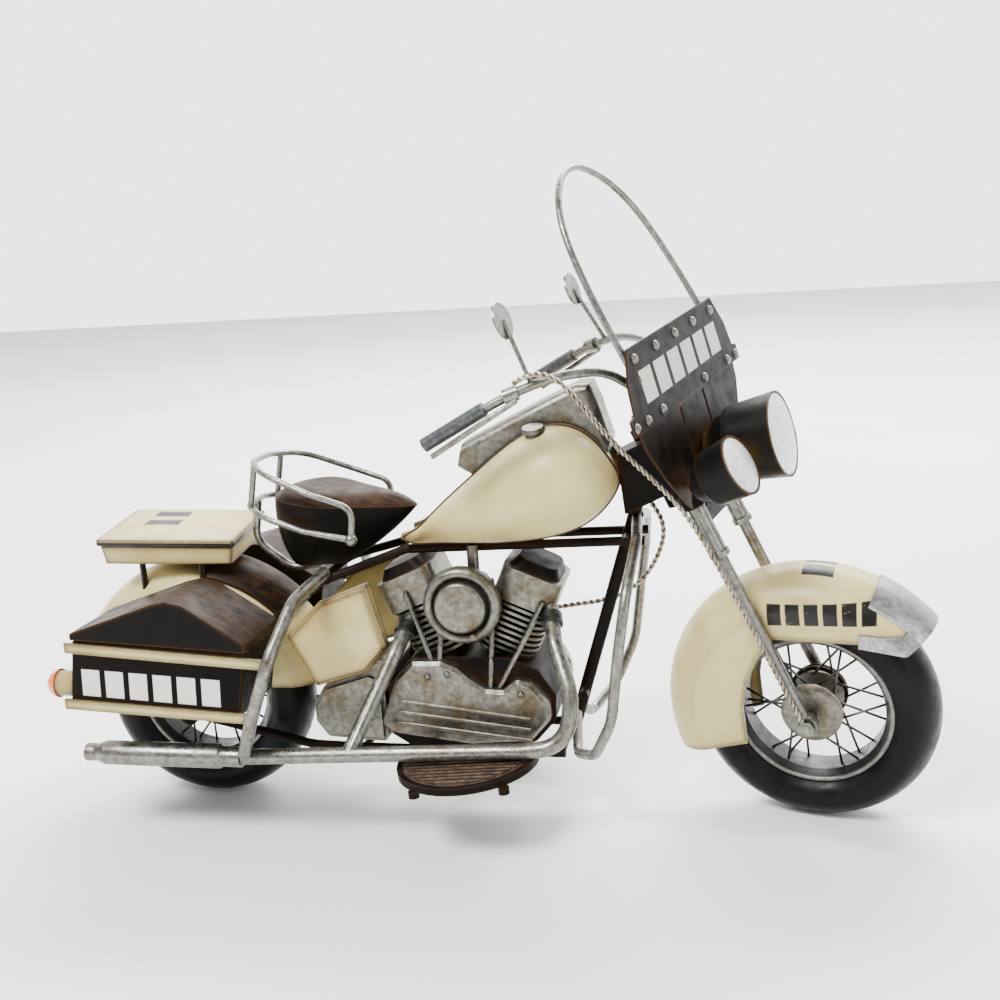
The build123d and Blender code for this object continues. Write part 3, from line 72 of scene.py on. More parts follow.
# ------------------------------------------------------------------ shader building blocks
class Shader:
    """One node material: a Principled surface and short names for the nodes that feed it."""

    def __init__(self, name, base, metallic, roughness):
        self.material = bpy.data.materials.new(name)
        self.material.use_nodes = True
        self.material.diffuse_color = (*base, 1)
        self.nodes = self.material.node_tree.nodes
        self.links = self.material.node_tree.links
        self.surface = self.nodes["Principled BSDF"]
        self.surface.inputs["Base Color"].default_value = (*base, 1)
        self.surface.inputs["Metallic"].default_value = metallic
        self.surface.inputs["Roughness"].default_value = roughness
        self.where = self.nodes.new("ShaderNodeTexCoord").outputs["Object"]
        self.geometry = self.nodes.new("ShaderNodeNewGeometry")

    def put(self, value, socket):
        if isinstance(value, (int, float)):
            socket.default_value = value
        elif isinstance(value, (tuple, list, Vector)):
            socket.default_value = (*value, 1) if len(socket.default_value) == 4 else tuple(value)
        else:
            self.links.new(value, socket)

    def math(self, kind, a, b=0.0, c=0.0):
        node = self.nodes.new("ShaderNodeMath")
        node.operation = kind
        for value, socket in zip((a, b, c), node.inputs):
            self.put(value, socket)
        return node.outputs[0]

    def noise(self, size_mm, detail=4.0, roughness=0.6, stretch=(1, 1, 1)):
        spot = self.nodes.new("ShaderNodeMapping")
        self.links.new(self.where, spot.inputs["Vector"])
        spot.inputs["Scale"].default_value = stretch
        node = self.nodes.new("ShaderNodeTexNoise")
        node.inputs["Scale"].default_value = 1.0 / (size_mm * MM)
        node.inputs["Detail"].default_value = detail
        node.inputs["Roughness"].default_value = roughness
        self.links.new(spot.outputs[0], node.inputs["Vector"])
        return node.outputs["Fac"]

    def ramp(self, value, low, high, to_low=0.0, to_high=1.0):
        node = self.nodes.new("ShaderNodeMapRange")
        node.interpolation_type = "SMOOTHSTEP"
        for number, key in ((low, 1), (high, 2), (to_low, 3), (to_high, 4)):
            node.inputs[key].default_value = number
        self.links.new(value, node.inputs[0])
        return node.outputs[0]

    def mix(self, fac, a, b):
        node = self.nodes.new("ShaderNodeMix")
        node.data_type = "RGBA"
        self.put(fac, node.inputs[0])
        self.put(a, node.inputs[6])
        self.put(b, node.inputs[7])
        return node.outputs[2]

    def facing(self, axis, low, high):
        """1 where the surface faces an axis, 0 where it faces away from it."""
        dot = self.nodes.new("ShaderNodeVectorMath")
        dot.operation = "DOT_PRODUCT"
        self.links.new(self.geometry.outputs["Normal"], dot.inputs[0])
        dot.inputs[1].default_value = axis
        return self.ramp(dot.outputs["Value"], low, high)

    def edges(self, width_mm, low=0.004, high=0.07):
        """1 along the outer and inner edges of the shape, 0 on its open faces."""
        node = self.nodes.new("ShaderNodeBevel")
        node.samples = 4
        node.inputs["Radius"].default_value = width_mm * MM
        dot = self.nodes.new("ShaderNodeVectorMath")
        dot.operation = "DOT_PRODUCT"
        self.links.new(node.outputs[0], dot.inputs[0])
        self.links.new(self.geometry.outputs["Normal"], dot.inputs[1])
        return self.ramp(self.math("SUBTRACT", 1.0, dot.outputs["Value"]), low, high)

    def corners(self, reach_mm, low=0.35, high=0.95):
        """1 in corners and under other pieces, where shade falls; it drives painted shade there,
        which also stands for grime.
        """
        node = self.nodes.new("ShaderNodeAmbientOcclusion")
        node.samples = 4
        node.inputs["Distance"].default_value = reach_mm * MM
        return self.ramp(node.outputs["AO"], low, high, 1.0, 0.0)

    def bump(self, height, strength, depth_mm):
        node = self.nodes.new("ShaderNodeBump")
        node.inputs["Strength"].default_value = strength
        node.inputs["Distance"].default_value = depth_mm * MM
        self.links.new(height, node.inputs["Height"])
        if self.surface.inputs["Normal"].is_linked:
            before = self.surface.inputs["Normal"].links[0].from_socket
            self.links.new(before, node.inputs["Normal"])
        self.links.new(node.outputs[0], self.surface.inputs["Normal"])

    def along(self, axis, origin):
        """How far a point lies along an axis from an origin, in millimetres."""
        offset = self.nodes.new("ShaderNodeVectorMath")
        offset.operation = "SUBTRACT"
        self.links.new(self.where, offset.inputs[0])
        offset.inputs[1].default_value = origin
        dot = self.nodes.new("ShaderNodeVectorMath")
        dot.operation = "DOT_PRODUCT"
        self.links.new(offset.outputs[0], dot.inputs[0])
        dot.inputs[1].default_value = axis
        return self.math("MULTIPLY", dot.outputs["Value"], 1000.0)

    def within(self, value, centre, half, soft=0.25):
        """1 where a distance is within half of centre, with a soft border."""
        away = self.math("ABSOLUTE", self.math("SUBTRACT", value, centre))
        return self.ramp(away, half - soft, half + soft, 1.0, 0.0)

    def blocks(self, across, up, centres, half_across, up_centre, half_up, facing=None):
        """A row of plain painted blocks, worn by noise."""
        row = None
        for centre in centres:
            one = self.within(across, centre, half_across)
            row = one if row is None else self.math("MAXIMUM", row, one)
        row = self.math("MULTIPLY", row, self.within(up, up_centre, half_up))
        if facing is not None:
            row = self.math("MULTIPLY", row, facing)
        wear = self.ramp(self.noise(2.2, 4.0, 0.7), 0.30, 0.40, 0.75, 1.0)
        return self.math("MULTIPLY", row, wear)

    def colour(self, value):
        self.put(value, self.surface.inputs["Base Color"])

    def rough(self, value):
        self.put(value, self.surface.inputs["Roughness"])


# How far the darker band reaches in from the edges, as a multiple of the rubbed-edge width:
# airbrushed tone and painted shade together.
AIRBRUSH_AND_SHADE_REACH = 3.4


def old_paint(
    name, base, deep, edge, gloss, edge_width=1.4, marks=None, tops=None, patch=None, dull=0.3
):
    """Paint airbrushed by hand, with brown rubbed edges and specks; a darker band along its edges
    is partly airbrushed tone and partly painted shade, and corners get painted shade with grime.
    """
    s = Shader(name, base, 0.0, gloss)
    cloud = s.ramp(s.noise(34.0, 3.0), 0.42, 0.72)
    colour = s.mix(s.math("MULTIPLY", cloud, 0.55), base, deep)
    mottle = s.ramp(s.noise(4.0, 6.0, 0.72), 0.56, 0.8)
    colour = s.mix(s.math("MULTIPLY", mottle, 0.3), colour, deep)
    if tops is not None:
        worn = s.ramp(s.noise(5.0, 6.0, 0.75, (0.5, 1.6, 1)), 0.34, 0.66)
        upward = s.facing(Z, 0.35, 0.8)
        colour = s.mix(s.math("MULTIPLY", worn, s.math("MULTIPLY", upward, 0.85)), colour, tops)
    # Darker band along the edges and where the surface turns away: partly the airbrushed tone of
    # the paint, partly painted shade.
    airbrushed_and_shaded = s.edges(edge_width * AIRBRUSH_AND_SHADE_REACH, 0.0, 0.06)
    colour = s.mix(s.math("MULTIPLY", airbrushed_and_shaded, 0.75), colour, deep)
    for layer in (marks, patch):
        if layer is not None:
            mask, paint = layer(s)
            colour = s.mix(mask, colour, paint)
    speck = s.ramp(s.noise(1.1, 4.0, 0.75), 0.68, 0.76)
    colour = s.mix(s.math("MULTIPLY", speck, 0.65), colour, edge)
    rim = s.edges(edge_width, 0.0, 0.02)
    rubbed = s.ramp(s.noise(2.6, 5.0, 0.75), 0.24, 0.50, 0.45, 1.0)
    colour = s.mix(s.math("MULTIPLY", rim, s.math("MULTIPLY", rubbed, 0.97)), colour, edge)
    # Painted shade: corners and places under other pieces are darkened toward the edge colour,
    # together with grime.
    dirt_and_shade = s.corners(7.0, 0.3, 0.9)
    colour = s.mix(s.math("MULTIPLY", dirt_and_shade, 0.8), colour, edge)
    s.put(dull, s.surface.inputs["Specular IOR Level"])
    s.colour(colour)
    s.rough(s.ramp(s.noise(7.0, 4.0), 0.3, 0.8, gloss - 0.07, gloss + 0.16))
    s.bump(s.noise(9.0, 3.0), 0.25, 0.25)
    s.bump(s.noise(0.9, 3.0), 0.12, 0.05)
    return s.material


def old_metal(
    name, base, patina, dark, shine, patina_low=0.5, reach=4.0, streak=(1, 1, 1), patch=None
):
    """Silvered metal with golden-brown patina, and recesses darkened toward soot colour: painted
    shade over the brown antiquing in them.
    """
    s = Shader(name, base, 0.9, shine)
    grain = s.ramp(s.noise(2.4, 6.0, 0.7, streak), 0.3, 0.75)
    lighter = tuple(min(1.0, value * 2.4) for value in base)
    colour = s.mix(grain, base, lighter)
    blotch = s.ramp(s.noise(12.0, 4.0, 0.6), patina_low, patina_low + 0.3)
    colour = s.mix(s.math("MULTIPLY", blotch, 0.7), colour, patina)
    # Painted shade: recesses and places under other pieces are darkened, along with the antiquing
    # in them.
    dirt_and_shade = s.corners(reach)
    colour = s.mix(s.math("MULTIPLY", dirt_and_shade, 0.85), colour, dark)
    speck = s.ramp(s.noise(0.8, 3.0, 0.7), 0.66, 0.74)
    colour = s.mix(s.math("MULTIPLY", speck, 0.55), colour, dark)
    rim = s.edges(0.9, 0.03, 0.2)
    colour = s.mix(s.math("MULTIPLY", rim, 0.35), colour, lighter)
    if patch is not None:
        mask, paint = patch(s)
        colour = s.mix(mask, colour, paint)
        s.put(s.ramp(mask, 0.0, 1.0, 0.9, 0.1), s.surface.inputs["Metallic"])
    s.colour(colour)
    roughness = s.ramp(s.noise(3.2, 5.0), 0.3, 0.75, shine - 0.08, shine + 0.22)
    s.rough(s.math("ADD", roughness, s.math("MULTIPLY", dirt_and_shade, 0.3)))
    s.bump(s.noise(3.4, 5.0, 0.65, streak), 0.35, 0.18)
    s.bump(s.noise(0.6, 2.0), 0.12, 0.04)
    return s.material


IVORY = (0.60, 0.505, 0.225)
IVORY_DEEP = (0.33, 0.215, 0.060)
BURNT = (0.020, 0.0075, 0.0025)
COAL = (0.0035, 0.0032, 0.0030)
COAL_DEEP = (0.0075, 0.0055, 0.0042)
RUST_RUB = (0.034, 0.014, 0.005)
WALNUT = (0.006, 0.0036, 0.0024)
WALNUT_RUB = (0.050, 0.021, 0.0075)
MARK_DARK = (0.005, 0.0042, 0.0035)
MARK_LIGHT = (0.66, 0.64, 0.58)

# ------------------------------------------------------------------ painted blocks
BLOCKS_IN_ROW = 6
SIX = [index - (BLOCKS_IN_ROW - 1) / 2 for index in range(BLOCKS_IN_ROW)]
BAG_FACE = 60.0
BAG_MARK_MIDDLE = (-128.0, 71.0)
BAG_MARK_SLOPE = math.radians(-3.6)
BAG_MARK_PITCH = 10.4
BAG_MARK_HALF = (3.9, 5.6)


def bag_marks(s):
    """Light blocks on the outer faces of both bags."""
    along = Vector((math.cos(BAG_MARK_SLOPE), 0, math.sin(BAG_MARK_SLOPE)))
    rise = Vector((-math.sin(BAG_MARK_SLOPE), 0, math.cos(BAG_MARK_SLOPE)))
    origin = still(BAG_MARK_MIDDLE[0], 0, BAG_MARK_MIDDLE[1])
    out = s.math("ABSOLUTE", s.along(Y, origin))
    on_face = s.ramp(out, BAG_FACE - 0.6, BAG_FACE - 0.3)
    places = [BAG_MARK_PITCH * step for step in SIX]
    half_along, half_rise = BAG_MARK_HALF
    mask = s.blocks(
        s.along(along, origin), s.along(rise, origin), places, half_along, 0.0, half_rise, on_face
    )
    return mask, MARK_LIGHT


SHIELD_TOP = (79.0, 0.0, 203.0)
SHIELD_TILT = math.radians(14.0)
SHIELD_MARK_PITCH = 13.4
SHIELD_MARK_HALF = (5.2, 6.0)
SHIELD_MARK_HEIGHT = -15.2


def shield_marks(s):
    """Light blocks across the front of the upper windshield plate."""
    origin = steered(*SHIELD_TOP, twist=WINDSHIELD_TWIST)
    left = turned(Y, WINDSHIELD_TWIST)
    rise = turned((-math.sin(SHIELD_TILT), 0, math.cos(SHIELD_TILT)), WINDSHIELD_TWIST)
    ahead = turned((math.cos(SHIELD_TILT), 0, math.sin(SHIELD_TILT)), WINDSHIELD_TWIST)
    on_face = s.ramp(s.along(ahead, origin), 1.2, 1.4)
    places = [SHIELD_MARK_PITCH * step for step in SIX]
    across, height = s.along(left, origin), s.along(rise, origin)
    half_across, half_rise = SHIELD_MARK_HALF
    mask = s.blocks(
        across, height, places, half_across, SHIELD_MARK_HEIGHT, half_rise, on_face
    )
    return mask, MARK_LIGHT


FENDER_MARKS_MIDDLE = (136.5, 0, 93.0)
FENDER_MARKS_SLOPE = math.radians(4.0)
FENDER_MARK_PITCH = 7.0
FENDER_MARK_HALF = (2.7, 4.2)
CROWN_MIDDLE = (134.0, 0, 108.0)
CROWN_MARK_PLACES = [-4.6, 4.6]
CROWN_MARK_HALF = (3.2, 6.0)


def fender_marks(s):
    """Dark blocks on the sides and the crown of the front fender."""
    origin = steered(*FENDER_MARKS_MIDDLE)
    along = turned((math.cos(FENDER_MARKS_SLOPE), 0, math.sin(FENDER_MARKS_SLOPE)))
    rise = turned((-math.sin(FENDER_MARKS_SLOPE), 0, math.cos(FENDER_MARKS_SLOPE)))
    left = turned(Y)
    out = s.math("ABSOLUTE", s.along(left, origin))
    side = s.ramp(out, 11.0, 12.0)
    places = [FENDER_MARK_PITCH * step for step in SIX]
    half_along, half_rise = FENDER_MARK_HALF
    mask = s.blocks(
        s.along(along, origin), s.along(rise, origin), places, half_along, 0.0, half_rise, side
    )
    crown = steered(*CROWN_MIDDLE)
    flat = s.within(s.along(left, crown), 0.0, 30.0)
    across, ahead = s.along(left, crown), s.along(turned(X), crown)
    half_across, half_ahead = CROWN_MARK_HALF
    top = s.blocks(across, ahead, CROWN_MARK_PLACES, half_across, 0.0, half_ahead, flat)
    above = s.ramp(s.along(turned(Z), crown), -7.0, -6.0)
    return s.math("MAXIMUM", mask, s.math("MULTIPLY", top, above)), MARK_DARK


LID_MARKS_MIDDLE = (-148.0, 8.0, 124.0)
LID_MARKS_YAW = math.radians(5.0)
LID_MARK_PLACES = [-6.0, 6.0]
LID_MARK_HALF = (3.4, 8.0)


def trunk_marks(s):
    """Two dark blocks on top of the trunk lid."""
    origin = still(*LID_MARKS_MIDDLE)
    along = Vector((math.cos(LID_MARKS_YAW), math.sin(LID_MARKS_YAW), 0))
    left = Vector((-math.sin(LID_MARKS_YAW), math.cos(LID_MARKS_YAW), 0))
    above = s.ramp(s.along(Z, origin), -3.0, -2.6)
    across, ahead = s.along(left, origin), s.along(along, origin)
    half_across, half_ahead = LID_MARK_HALF
    mask = s.blocks(across, ahead, LID_MARK_PLACES, half_across, 0.0, half_ahead, above)
    return mask, MARK_DARK


LID_MIDDLE = (-137.5, 0.2, 123.4)
LID_TILT = (4.0, 2.5, 5.0)
# Height and half-width of the painted shadow line under the lid.
LID_SHADOW_MIDDLE = -2.5
LID_SHADOW_HALF = 1.3
POSTS_TOP = (-137.5, 0, 110.4)


def lid_gap_shadow(s):
    """Painted shadow: the dark line along the foot of the trunk lid, where the gap under the lid
    lies in shade.
    """
    about_x, about_y, about_z = (math.radians(angle) for angle in LID_TILT)
    normal = (
        Matrix.Rotation(about_x, 3, "X")
        @ Matrix.Rotation(about_y, 3, "Y")
        @ Matrix.Rotation(about_z, 3, "Z")
    ) @ Z
    height = s.along(normal, still(*LID_MIDDLE))
    return s.ramp(s.within(height, LID_SHADOW_MIDDLE, LID_SHADOW_HALF), 0.0, 1.0), COAL


def black_posts_and_lid_shadow(s):
    """Black legs under the trunk, and the upper edge of the painted shadow line under its lid."""
    height = s.along(Z, still(*POSTS_TOP))
    legs = s.ramp(height, -0.2, 0.2, 1.0, 0.0)
    return s.math("MAXIMUM", legs, lid_gap_shadow(s)[0]), COAL


WELL_HALF = (8.0, 8.5)


def rim_well(centre, across):
    """Black between the bright lips of a wheel rim."""

    def patch(s):
        out = s.math("ABSOLUTE", s.along(across, centre))
        return s.ramp(out, *WELL_HALF, 1.0, 0.0), COAL

    return patch


PIPE_STARTS = [
    ((26.6, -10.0, 91.0), (30.4, -26.0, 79.4)),
    ((-31.6, -10.0, 86.4), (-35.6, -26.0, 75.4)),
]
COLLAR_MIDDLE = 8.5
COLLAR_HALF = 2.6


def pipe_collars(s):
    """A black band where each exhaust pipe leaves its cylinder."""
    band = None
    for start, end in PIPE_STARTS:
        origin = still(*start)
        run = (Vector(end) - Vector(start)).normalized()
        height = s.along(run, origin)
        below = s.along(Z, origin)
        one = s.math(
            "MULTIPLY",
            s.within(height, COLLAR_MIDDLE, COLLAR_HALF),
            s.ramp(below, -15.0, -14.0),
        )
        near = s.along(X, origin)
        one = s.math("MULTIPLY", one, s.within(near, 2.0, 9.0))
        band = one if band is None else s.math("MAXIMUM", band, one)
    return band, COAL


# ------------------------------------------------------------------ the finishes
FRONT_AXLE = steered(HALF_WHEELBASE, 0, WHEEL_RADIUS)
REAR_AXLE = still(-HALF_WHEELBASE, 0, WHEEL_RADIUS)
cream = old_paint("cream_paint", IVORY, IVORY_DEEP, BURNT, 0.34, 2.8)
cream_fender = old_paint("cream_fender", IVORY, IVORY_DEEP, BURNT, 0.34, 3.2, marks=fender_marks)
cream_lid = old_paint(
    "cream_lid", IVORY, IVORY_DEEP, BURNT, 0.36, 2.2, marks=trunk_marks, patch=lid_gap_shadow
)
cream_trunk = old_paint("cream_trunk", IVORY, IVORY_DEEP, BURNT, 0.36, 2.2, patch=black_posts_and_lid_shadow)
black = old_paint("black_paint", COAL, COAL_DEEP, RUST_RUB, 0.42, 0.8, dull=0.05)
black_bag = old_paint(
    "black_bag", COAL, COAL_DEEP, RUST_RUB, 0.42, 0.8, marks=bag_marks, dull=0.04
)
brown = old_paint(
    "brown_paint", COAL, WALNUT, WALNUT_RUB, 0.42, 1.0, tops=WALNUT_RUB, dull=0.07
)
brown_shield = old_paint(
    "brown_shield", WALNUT, COAL_DEEP, WALNUT_RUB, 0.42, 1.0, marks=shield_marks, dull=0.09
)
SILVER = (0.135, 0.131, 0.118)
PATINA = (0.100, 0.058, 0.016)
# Near-black used for soot specks and for the painted shade in recesses.
SOOT_AND_SHADE = (0.005, 0.0025, 0.001)
silver = old_metal("worn_silver", SILVER, PATINA, SOOT_AND_SHADE, 0.30, 0.50)
piping = old_metal("pipe_silver", SILVER, PATINA, SOOT_AND_SHADE, 0.30, 0.50, patch=pipe_collars)
pewter = old_metal("pewter", (0.105, 0.102, 0.086), PATINA, SOOT_AND_SHADE, 0.34, 0.42, 7.0)
brushed = old_metal("brushed_tip", (0.20, 0.20, 0.20), PATINA, SOOT_AND_SHADE, 0.34, 0.66, streak=(1, 6, 1))
dark_steel = old_metal("dark_steel", (0.055, 0.050, 0.044), (0.035, 0.02, 0.008), SOOT_AND_SHADE, 0.4)
front_lip = old_metal(
    "front_rim", SILVER, PATINA, SOOT_AND_SHADE, 0.36, patch=rim_well(FRONT_AXLE, turned(Y))
)
rear_lip = old_metal(
    "rear_rim", SILVER, PATINA, SOOT_AND_SHADE, 0.36, patch=rim_well(REAR_AXLE, Y)
)


def tyre_rubber():
    """Satin black tyre with a faint bloom and scuffs."""
    s = Shader("tyre", (0.008, 0.008, 0.008), 0.0, 0.42)
    bloom = s.ramp(s.noise(14.0, 5.0), 0.4, 0.75)
    s.put(0.12, s.surface.inputs["Specular IOR Level"])
    colour = s.mix(s.math("MULTIPLY", bloom, 0.6), (0.003, 0.003, 0.003), (0.009, 0.008, 0.007))
    scuff = s.ramp(s.noise(1.5, 4.0, 0.75), 0.64, 0.74)
    colour = s.mix(s.math("MULTIPLY", scuff, 0.4), colour, (0.045, 0.038, 0.030))
    s.colour(colour)
    s.rough(s.ramp(s.noise(5.0, 4.0), 0.3, 0.75, 0.30, 0.52))
    s.bump(s.noise(2.2, 4.0), 0.3, 0.12)
    return s.material


def frosted_lens():
    """Silver-white lens: bright, a little rough and hammered."""
    s = Shader("lens", (0.80, 0.81, 0.80), 0.35, 0.32)
    cloud = s.ramp(s.noise(3.0, 6.0, 0.7), 0.35, 0.7)
    colour = s.mix(cloud, (0.62, 0.63, 0.63), (0.90, 0.90, 0.88))
    # Painted shade: the lens darkens to brown around its rim, where the shell around it shades it.
    rim = s.corners(2.0)
    colour = s.mix(s.math("MULTIPLY", rim, 0.6), colour, (0.30, 0.25, 0.18))
    s.colour(colour)
    s.rough(s.ramp(s.noise(1.2, 4.0), 0.3, 0.7, 0.22, 0.5))
    s.bump(s.noise(1.0, 4.0, 0.7), 0.7, 0.16)
    return s.material


def orange_lacquer():
    """Glossy coral-orange lacquer of the tail lamps."""
    s = Shader("orange_gloss", (0.80, 0.17, 0.055), 0.0, 0.2)
    cloud = s.ramp(s.noise(5.0, 4.0), 0.35, 0.7)
    colour = s.mix(cloud, (0.82, 0.16, 0.05), (0.62, 0.10, 0.03))
    # Painted shade: darkened to burnt brown in corners and under other pieces.
    colour = s.mix(s.math("MULTIPLY", s.corners(2.5), 0.7), colour, BURNT)
    s.colour(colour)
    s.rough(s.ramp(s.noise(2.0), 0.3, 0.7, 0.12, 0.3))
    s.bump(s.noise(2.4, 3.0), 0.2, 0.08)
    s.surface.inputs["Coat Weight"].default_value = 0.6
    return s.material


def slate_grip():
    """Dark slate grips with rubbed ends."""
    s = Shader("grip_black", (0.035, 0.04, 0.045), 0.0, 0.4)
    rub = s.ramp(s.noise(2.2, 5.0, 0.7), 0.45, 0.7)
    colour = s.mix(rub, (0.022, 0.025, 0.028), (0.07, 0.074, 0.078))
    colour = s.mix(s.math("MULTIPLY", s.edges(0.8), 0.8), colour, (0.16, 0.15, 0.14))
    s.colour(colour)
    s.rough(s.ramp(s.noise(3.0), 0.3, 0.7, 0.3, 0.5))
    s.bump(s.noise(1.4, 4.0), 0.3, 0.08)
    return s.material


def wire_steel():
    """Tarnished wire, darkened between the strands as painted shade."""
    s = Shader("twisted_wire", (0.36, 0.33, 0.28), 0.9, 0.36)
    tarnish = s.ramp(s.noise(3.0, 5.0, 0.7), 0.4, 0.65)
    colour = s.mix(tarnish, (0.46, 0.43, 0.37), (0.22, 0.15, 0.08))
    # Painted shade between the two strands.
    colour = s.mix(s.corners(1.2, 0.3, 0.9), colour, (0.04, 0.022, 0.01))
    s.colour(colour)
    s.rough(s.ramp(s.noise(1.6), 0.3, 0.7, 0.28, 0.5))
    s.bump(s.noise(0.8, 3.0), 0.25, 0.05)
    return s.material


def striped_tread():
    """Brown ribbed mat with rubbed ribs, and painted shade in the grooves between them."""
    s = Shader("tread", (0.055, 0.034, 0.022), 0.0, 0.5)
    rub = s.ramp(s.noise(3.0, 5.0), 0.35, 0.65)
    colour = s.mix(rub, (0.036, 0.022, 0.015), (0.13, 0.075, 0.045))
    # Painted shade: the grooves between the ribs are darkened almost to black.
    colour = s.mix(s.corners(1.6, 0.35, 0.85), colour, (0.008, 0.006, 0.005))
    s.colour(colour)
    s.rough(s.ramp(s.noise(2.0), 0.3, 0.7, 0.4, 0.62))
    s.bump(s.noise(1.0, 4.0), 0.4, 0.1)
    return s.material


tyre_black = tyre_rubber()
lens_silver = frosted_lens()
orange = orange_lacquer()
slate = slate_grip()
OLD_GOLD = (0.085, 0.045, 0.012)
lamp_shell = old_paint("lamp_paint", COAL, COAL_DEEP, OLD_GOLD, 0.40, 0.9, dull=0.10)
wire = wire_steel()
tread = striped_tread()

FINISH = {
    "front_tyre": tyre_black,
    "rear_tyre": tyre_black,
    "front_rim": front_lip,
    "rear_rim": rear_lip,
    "exhaust_pipes": piping,
    "front_hub": pewter,
    "rear_hub": pewter,
    "front_brake_drum": black,
    "front_spokes": dark_steel,
    "rear_spokes": dark_steel,
    "front_fender": cream_fender,
    "rear_fender": cream,
    "fender_tip": brushed,
    "fender_panel": brown,
    "side_covers": cream,
    "fuel_tank": cream,
    "trunk_lid": cream_lid,
    "trunk_box": cream_trunk,
    "saddlebag_strips": cream,
    "saddlebags": black_bag,
    "saddlebag_lids": brown,
    "saddle": brown,
    "windshield_plates": brown_shield,
    "lamp_shells": lamp_shell,
    "lamp_lenses": lens_silver,
    "hand_grips": slate,
    "tail_lamps": orange,
    "footboard_treads": tread,
    "brake_cable": wire,
    "engine_cable": wire,
}
for name in ("gear_cover", "primary_cover", "gearbox", "cylinders", "air_cleaner", "tank_console"):
    FINISH[name] = pewter
for name in ("rocker_boxes", "frame_neck", "frame_backbone", "frame_downtube"):
    FINISH[name] = black
for name in ("frame_rear_tubes", "fork_crowns", "crankcase", "footboards"):
    FINISH[name] = black

# ------------------------------------------------------------------ dressing the CAD pieces
SHARP = math.radians(32.0)
NO_BEVEL = {"front_spokes", "rear_spokes"}
WIDE_BEVEL = {
    "saddlebag_lids": 0.8,
    "saddlebags": 0.6,
    "trunk_lid": 0.5,
    "tank_console": 1.6,
    "cylinders": 0.4,
    "rocker_boxes": 0.9,
    "side_covers": 0.6,
}
for name, node in nodes.items():
    node.data.materials.clear()
    node.data.materials.append(FINISH.get(name, silver))
    node.data.polygons.foreach_set("use_smooth", [True] * len(node.data.polygons))
    if "custom_normal" in node.data.attributes:
        node.data.attributes.remove(node.data.attributes["custom_normal"])
    weld = node.modifiers.new("join", "WELD")
    weld.merge_threshold = 0.002 * MM
    if name not in NO_BEVEL:
        bevel = node.modifiers.new("soften", "BEVEL")
        bevel.width = WIDE_BEVEL.get(name, 0.25) * MM
        bevel.segments = 2
        bevel.limit_method = "ANGLE"
        bevel.angle_limit = SHARP
        bevel.harden_normals = True
        bevel.use_clamp_overlap = True

# ------------------------------------------------------------------ seams of the tank
WELT_AT = 13.4
WELT_RADIUS = 0.6
welt_paint = old_paint("welt", (0.085, 0.042, 0.014), BURNT, BURNT, 0.4, 0.6)


def slice_outline(node, y):
    """The closed outline of a piece where a plane across Y cuts it, as points in order."""
    cut = bmesh.new()
    cut.from_mesh(node.data)
    bmesh.ops.remove_doubles(cut, verts=cut.verts, dist=0.005 * MM)
    whole = cut.verts[:] + cut.edges[:] + cut.faces[:]
    made = bmesh.ops.bisect_plane(
        cut, geom=whole, dist=0.001 * MM, plane_co=(0, y, 0), plane_no=Y
    )
    edges = [item for item in made["geom_cut"] if isinstance(item, bmesh.types.BMEdge)]
    beside = {}
    for edge in edges:
        first, second = edge.verts
        beside.setdefault(first, []).append(second)
        beside.setdefault(second, []).append(first)
    route = [next(iter(beside))]
    seen = set(route)
    onward = beside[route[-1]]
    while onward:
        route.append(onward[0])
        seen.add(onward[0])
        onward = [vertex for vertex in beside[route[-1]] if vertex not in seen]
    points = [vertex.co.copy() for vertex in route]
    cut.free()
    return points


def seam(name, points):
    """A thin raised line through a closed ring of points."""
    data = bpy.data.curves.new(name, "CURVE")
    data.dimensions = "3D"
    data.bevel_depth = WELT_RADIUS * MM
    data.bevel_resolution = 2
    spline = data.splines.new("POLY")
    spline.points.add(len(points) - 1)
    for place, point in zip(spline.points, points):
        place.co = (*point, 1.0)
    spline.use_cyclic_u = True
    line = bpy.data.objects.new(name, data)
    bpy.context.scene.collection.objects.link(line)
    line.data.materials.append(welt_paint)
    return line


for side, tag in ((-1, "right"), (1, "left")):
    level = still(0, side * WELT_AT, 0).y
    welt = seam(f"tank_welt_{tag}", slice_outline(nodes["fuel_tank"], level))
    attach(welt, "frame")

# ------------------------------------------------------------------ twisted cables
CABLE_RADIUS = 1.1
STRAND_RADIUS = 0.56
TWIST_PITCH = 5.6


def smooth_route(points):
    """Points along the curve that a cable's route guides, evenly joined."""
    data = bpy.data.curves.new("route", "CURVE")
    data.dimensions = "3D"
    data.resolution_u = 24
    spline = data.splines.new("NURBS")
    spline.points.add(len(points) - 1)
    for place, point in zip(spline.points, points):
        place.co = (*point, 1.0)
    spline.order_u = 3
    spline.use_endpoint_u = True
    guide = bpy.data.objects.new("route", data)
    bpy.context.scene.collection.objects.link(guide)
    bpy.context.view_layer.update()
    mesh = guide.to_mesh()
    route = [vertex.co.copy() for vertex in mesh.vertices]
    guide.to_mesh_clear()
    bpy.data.objects.remove(guide)
    return route


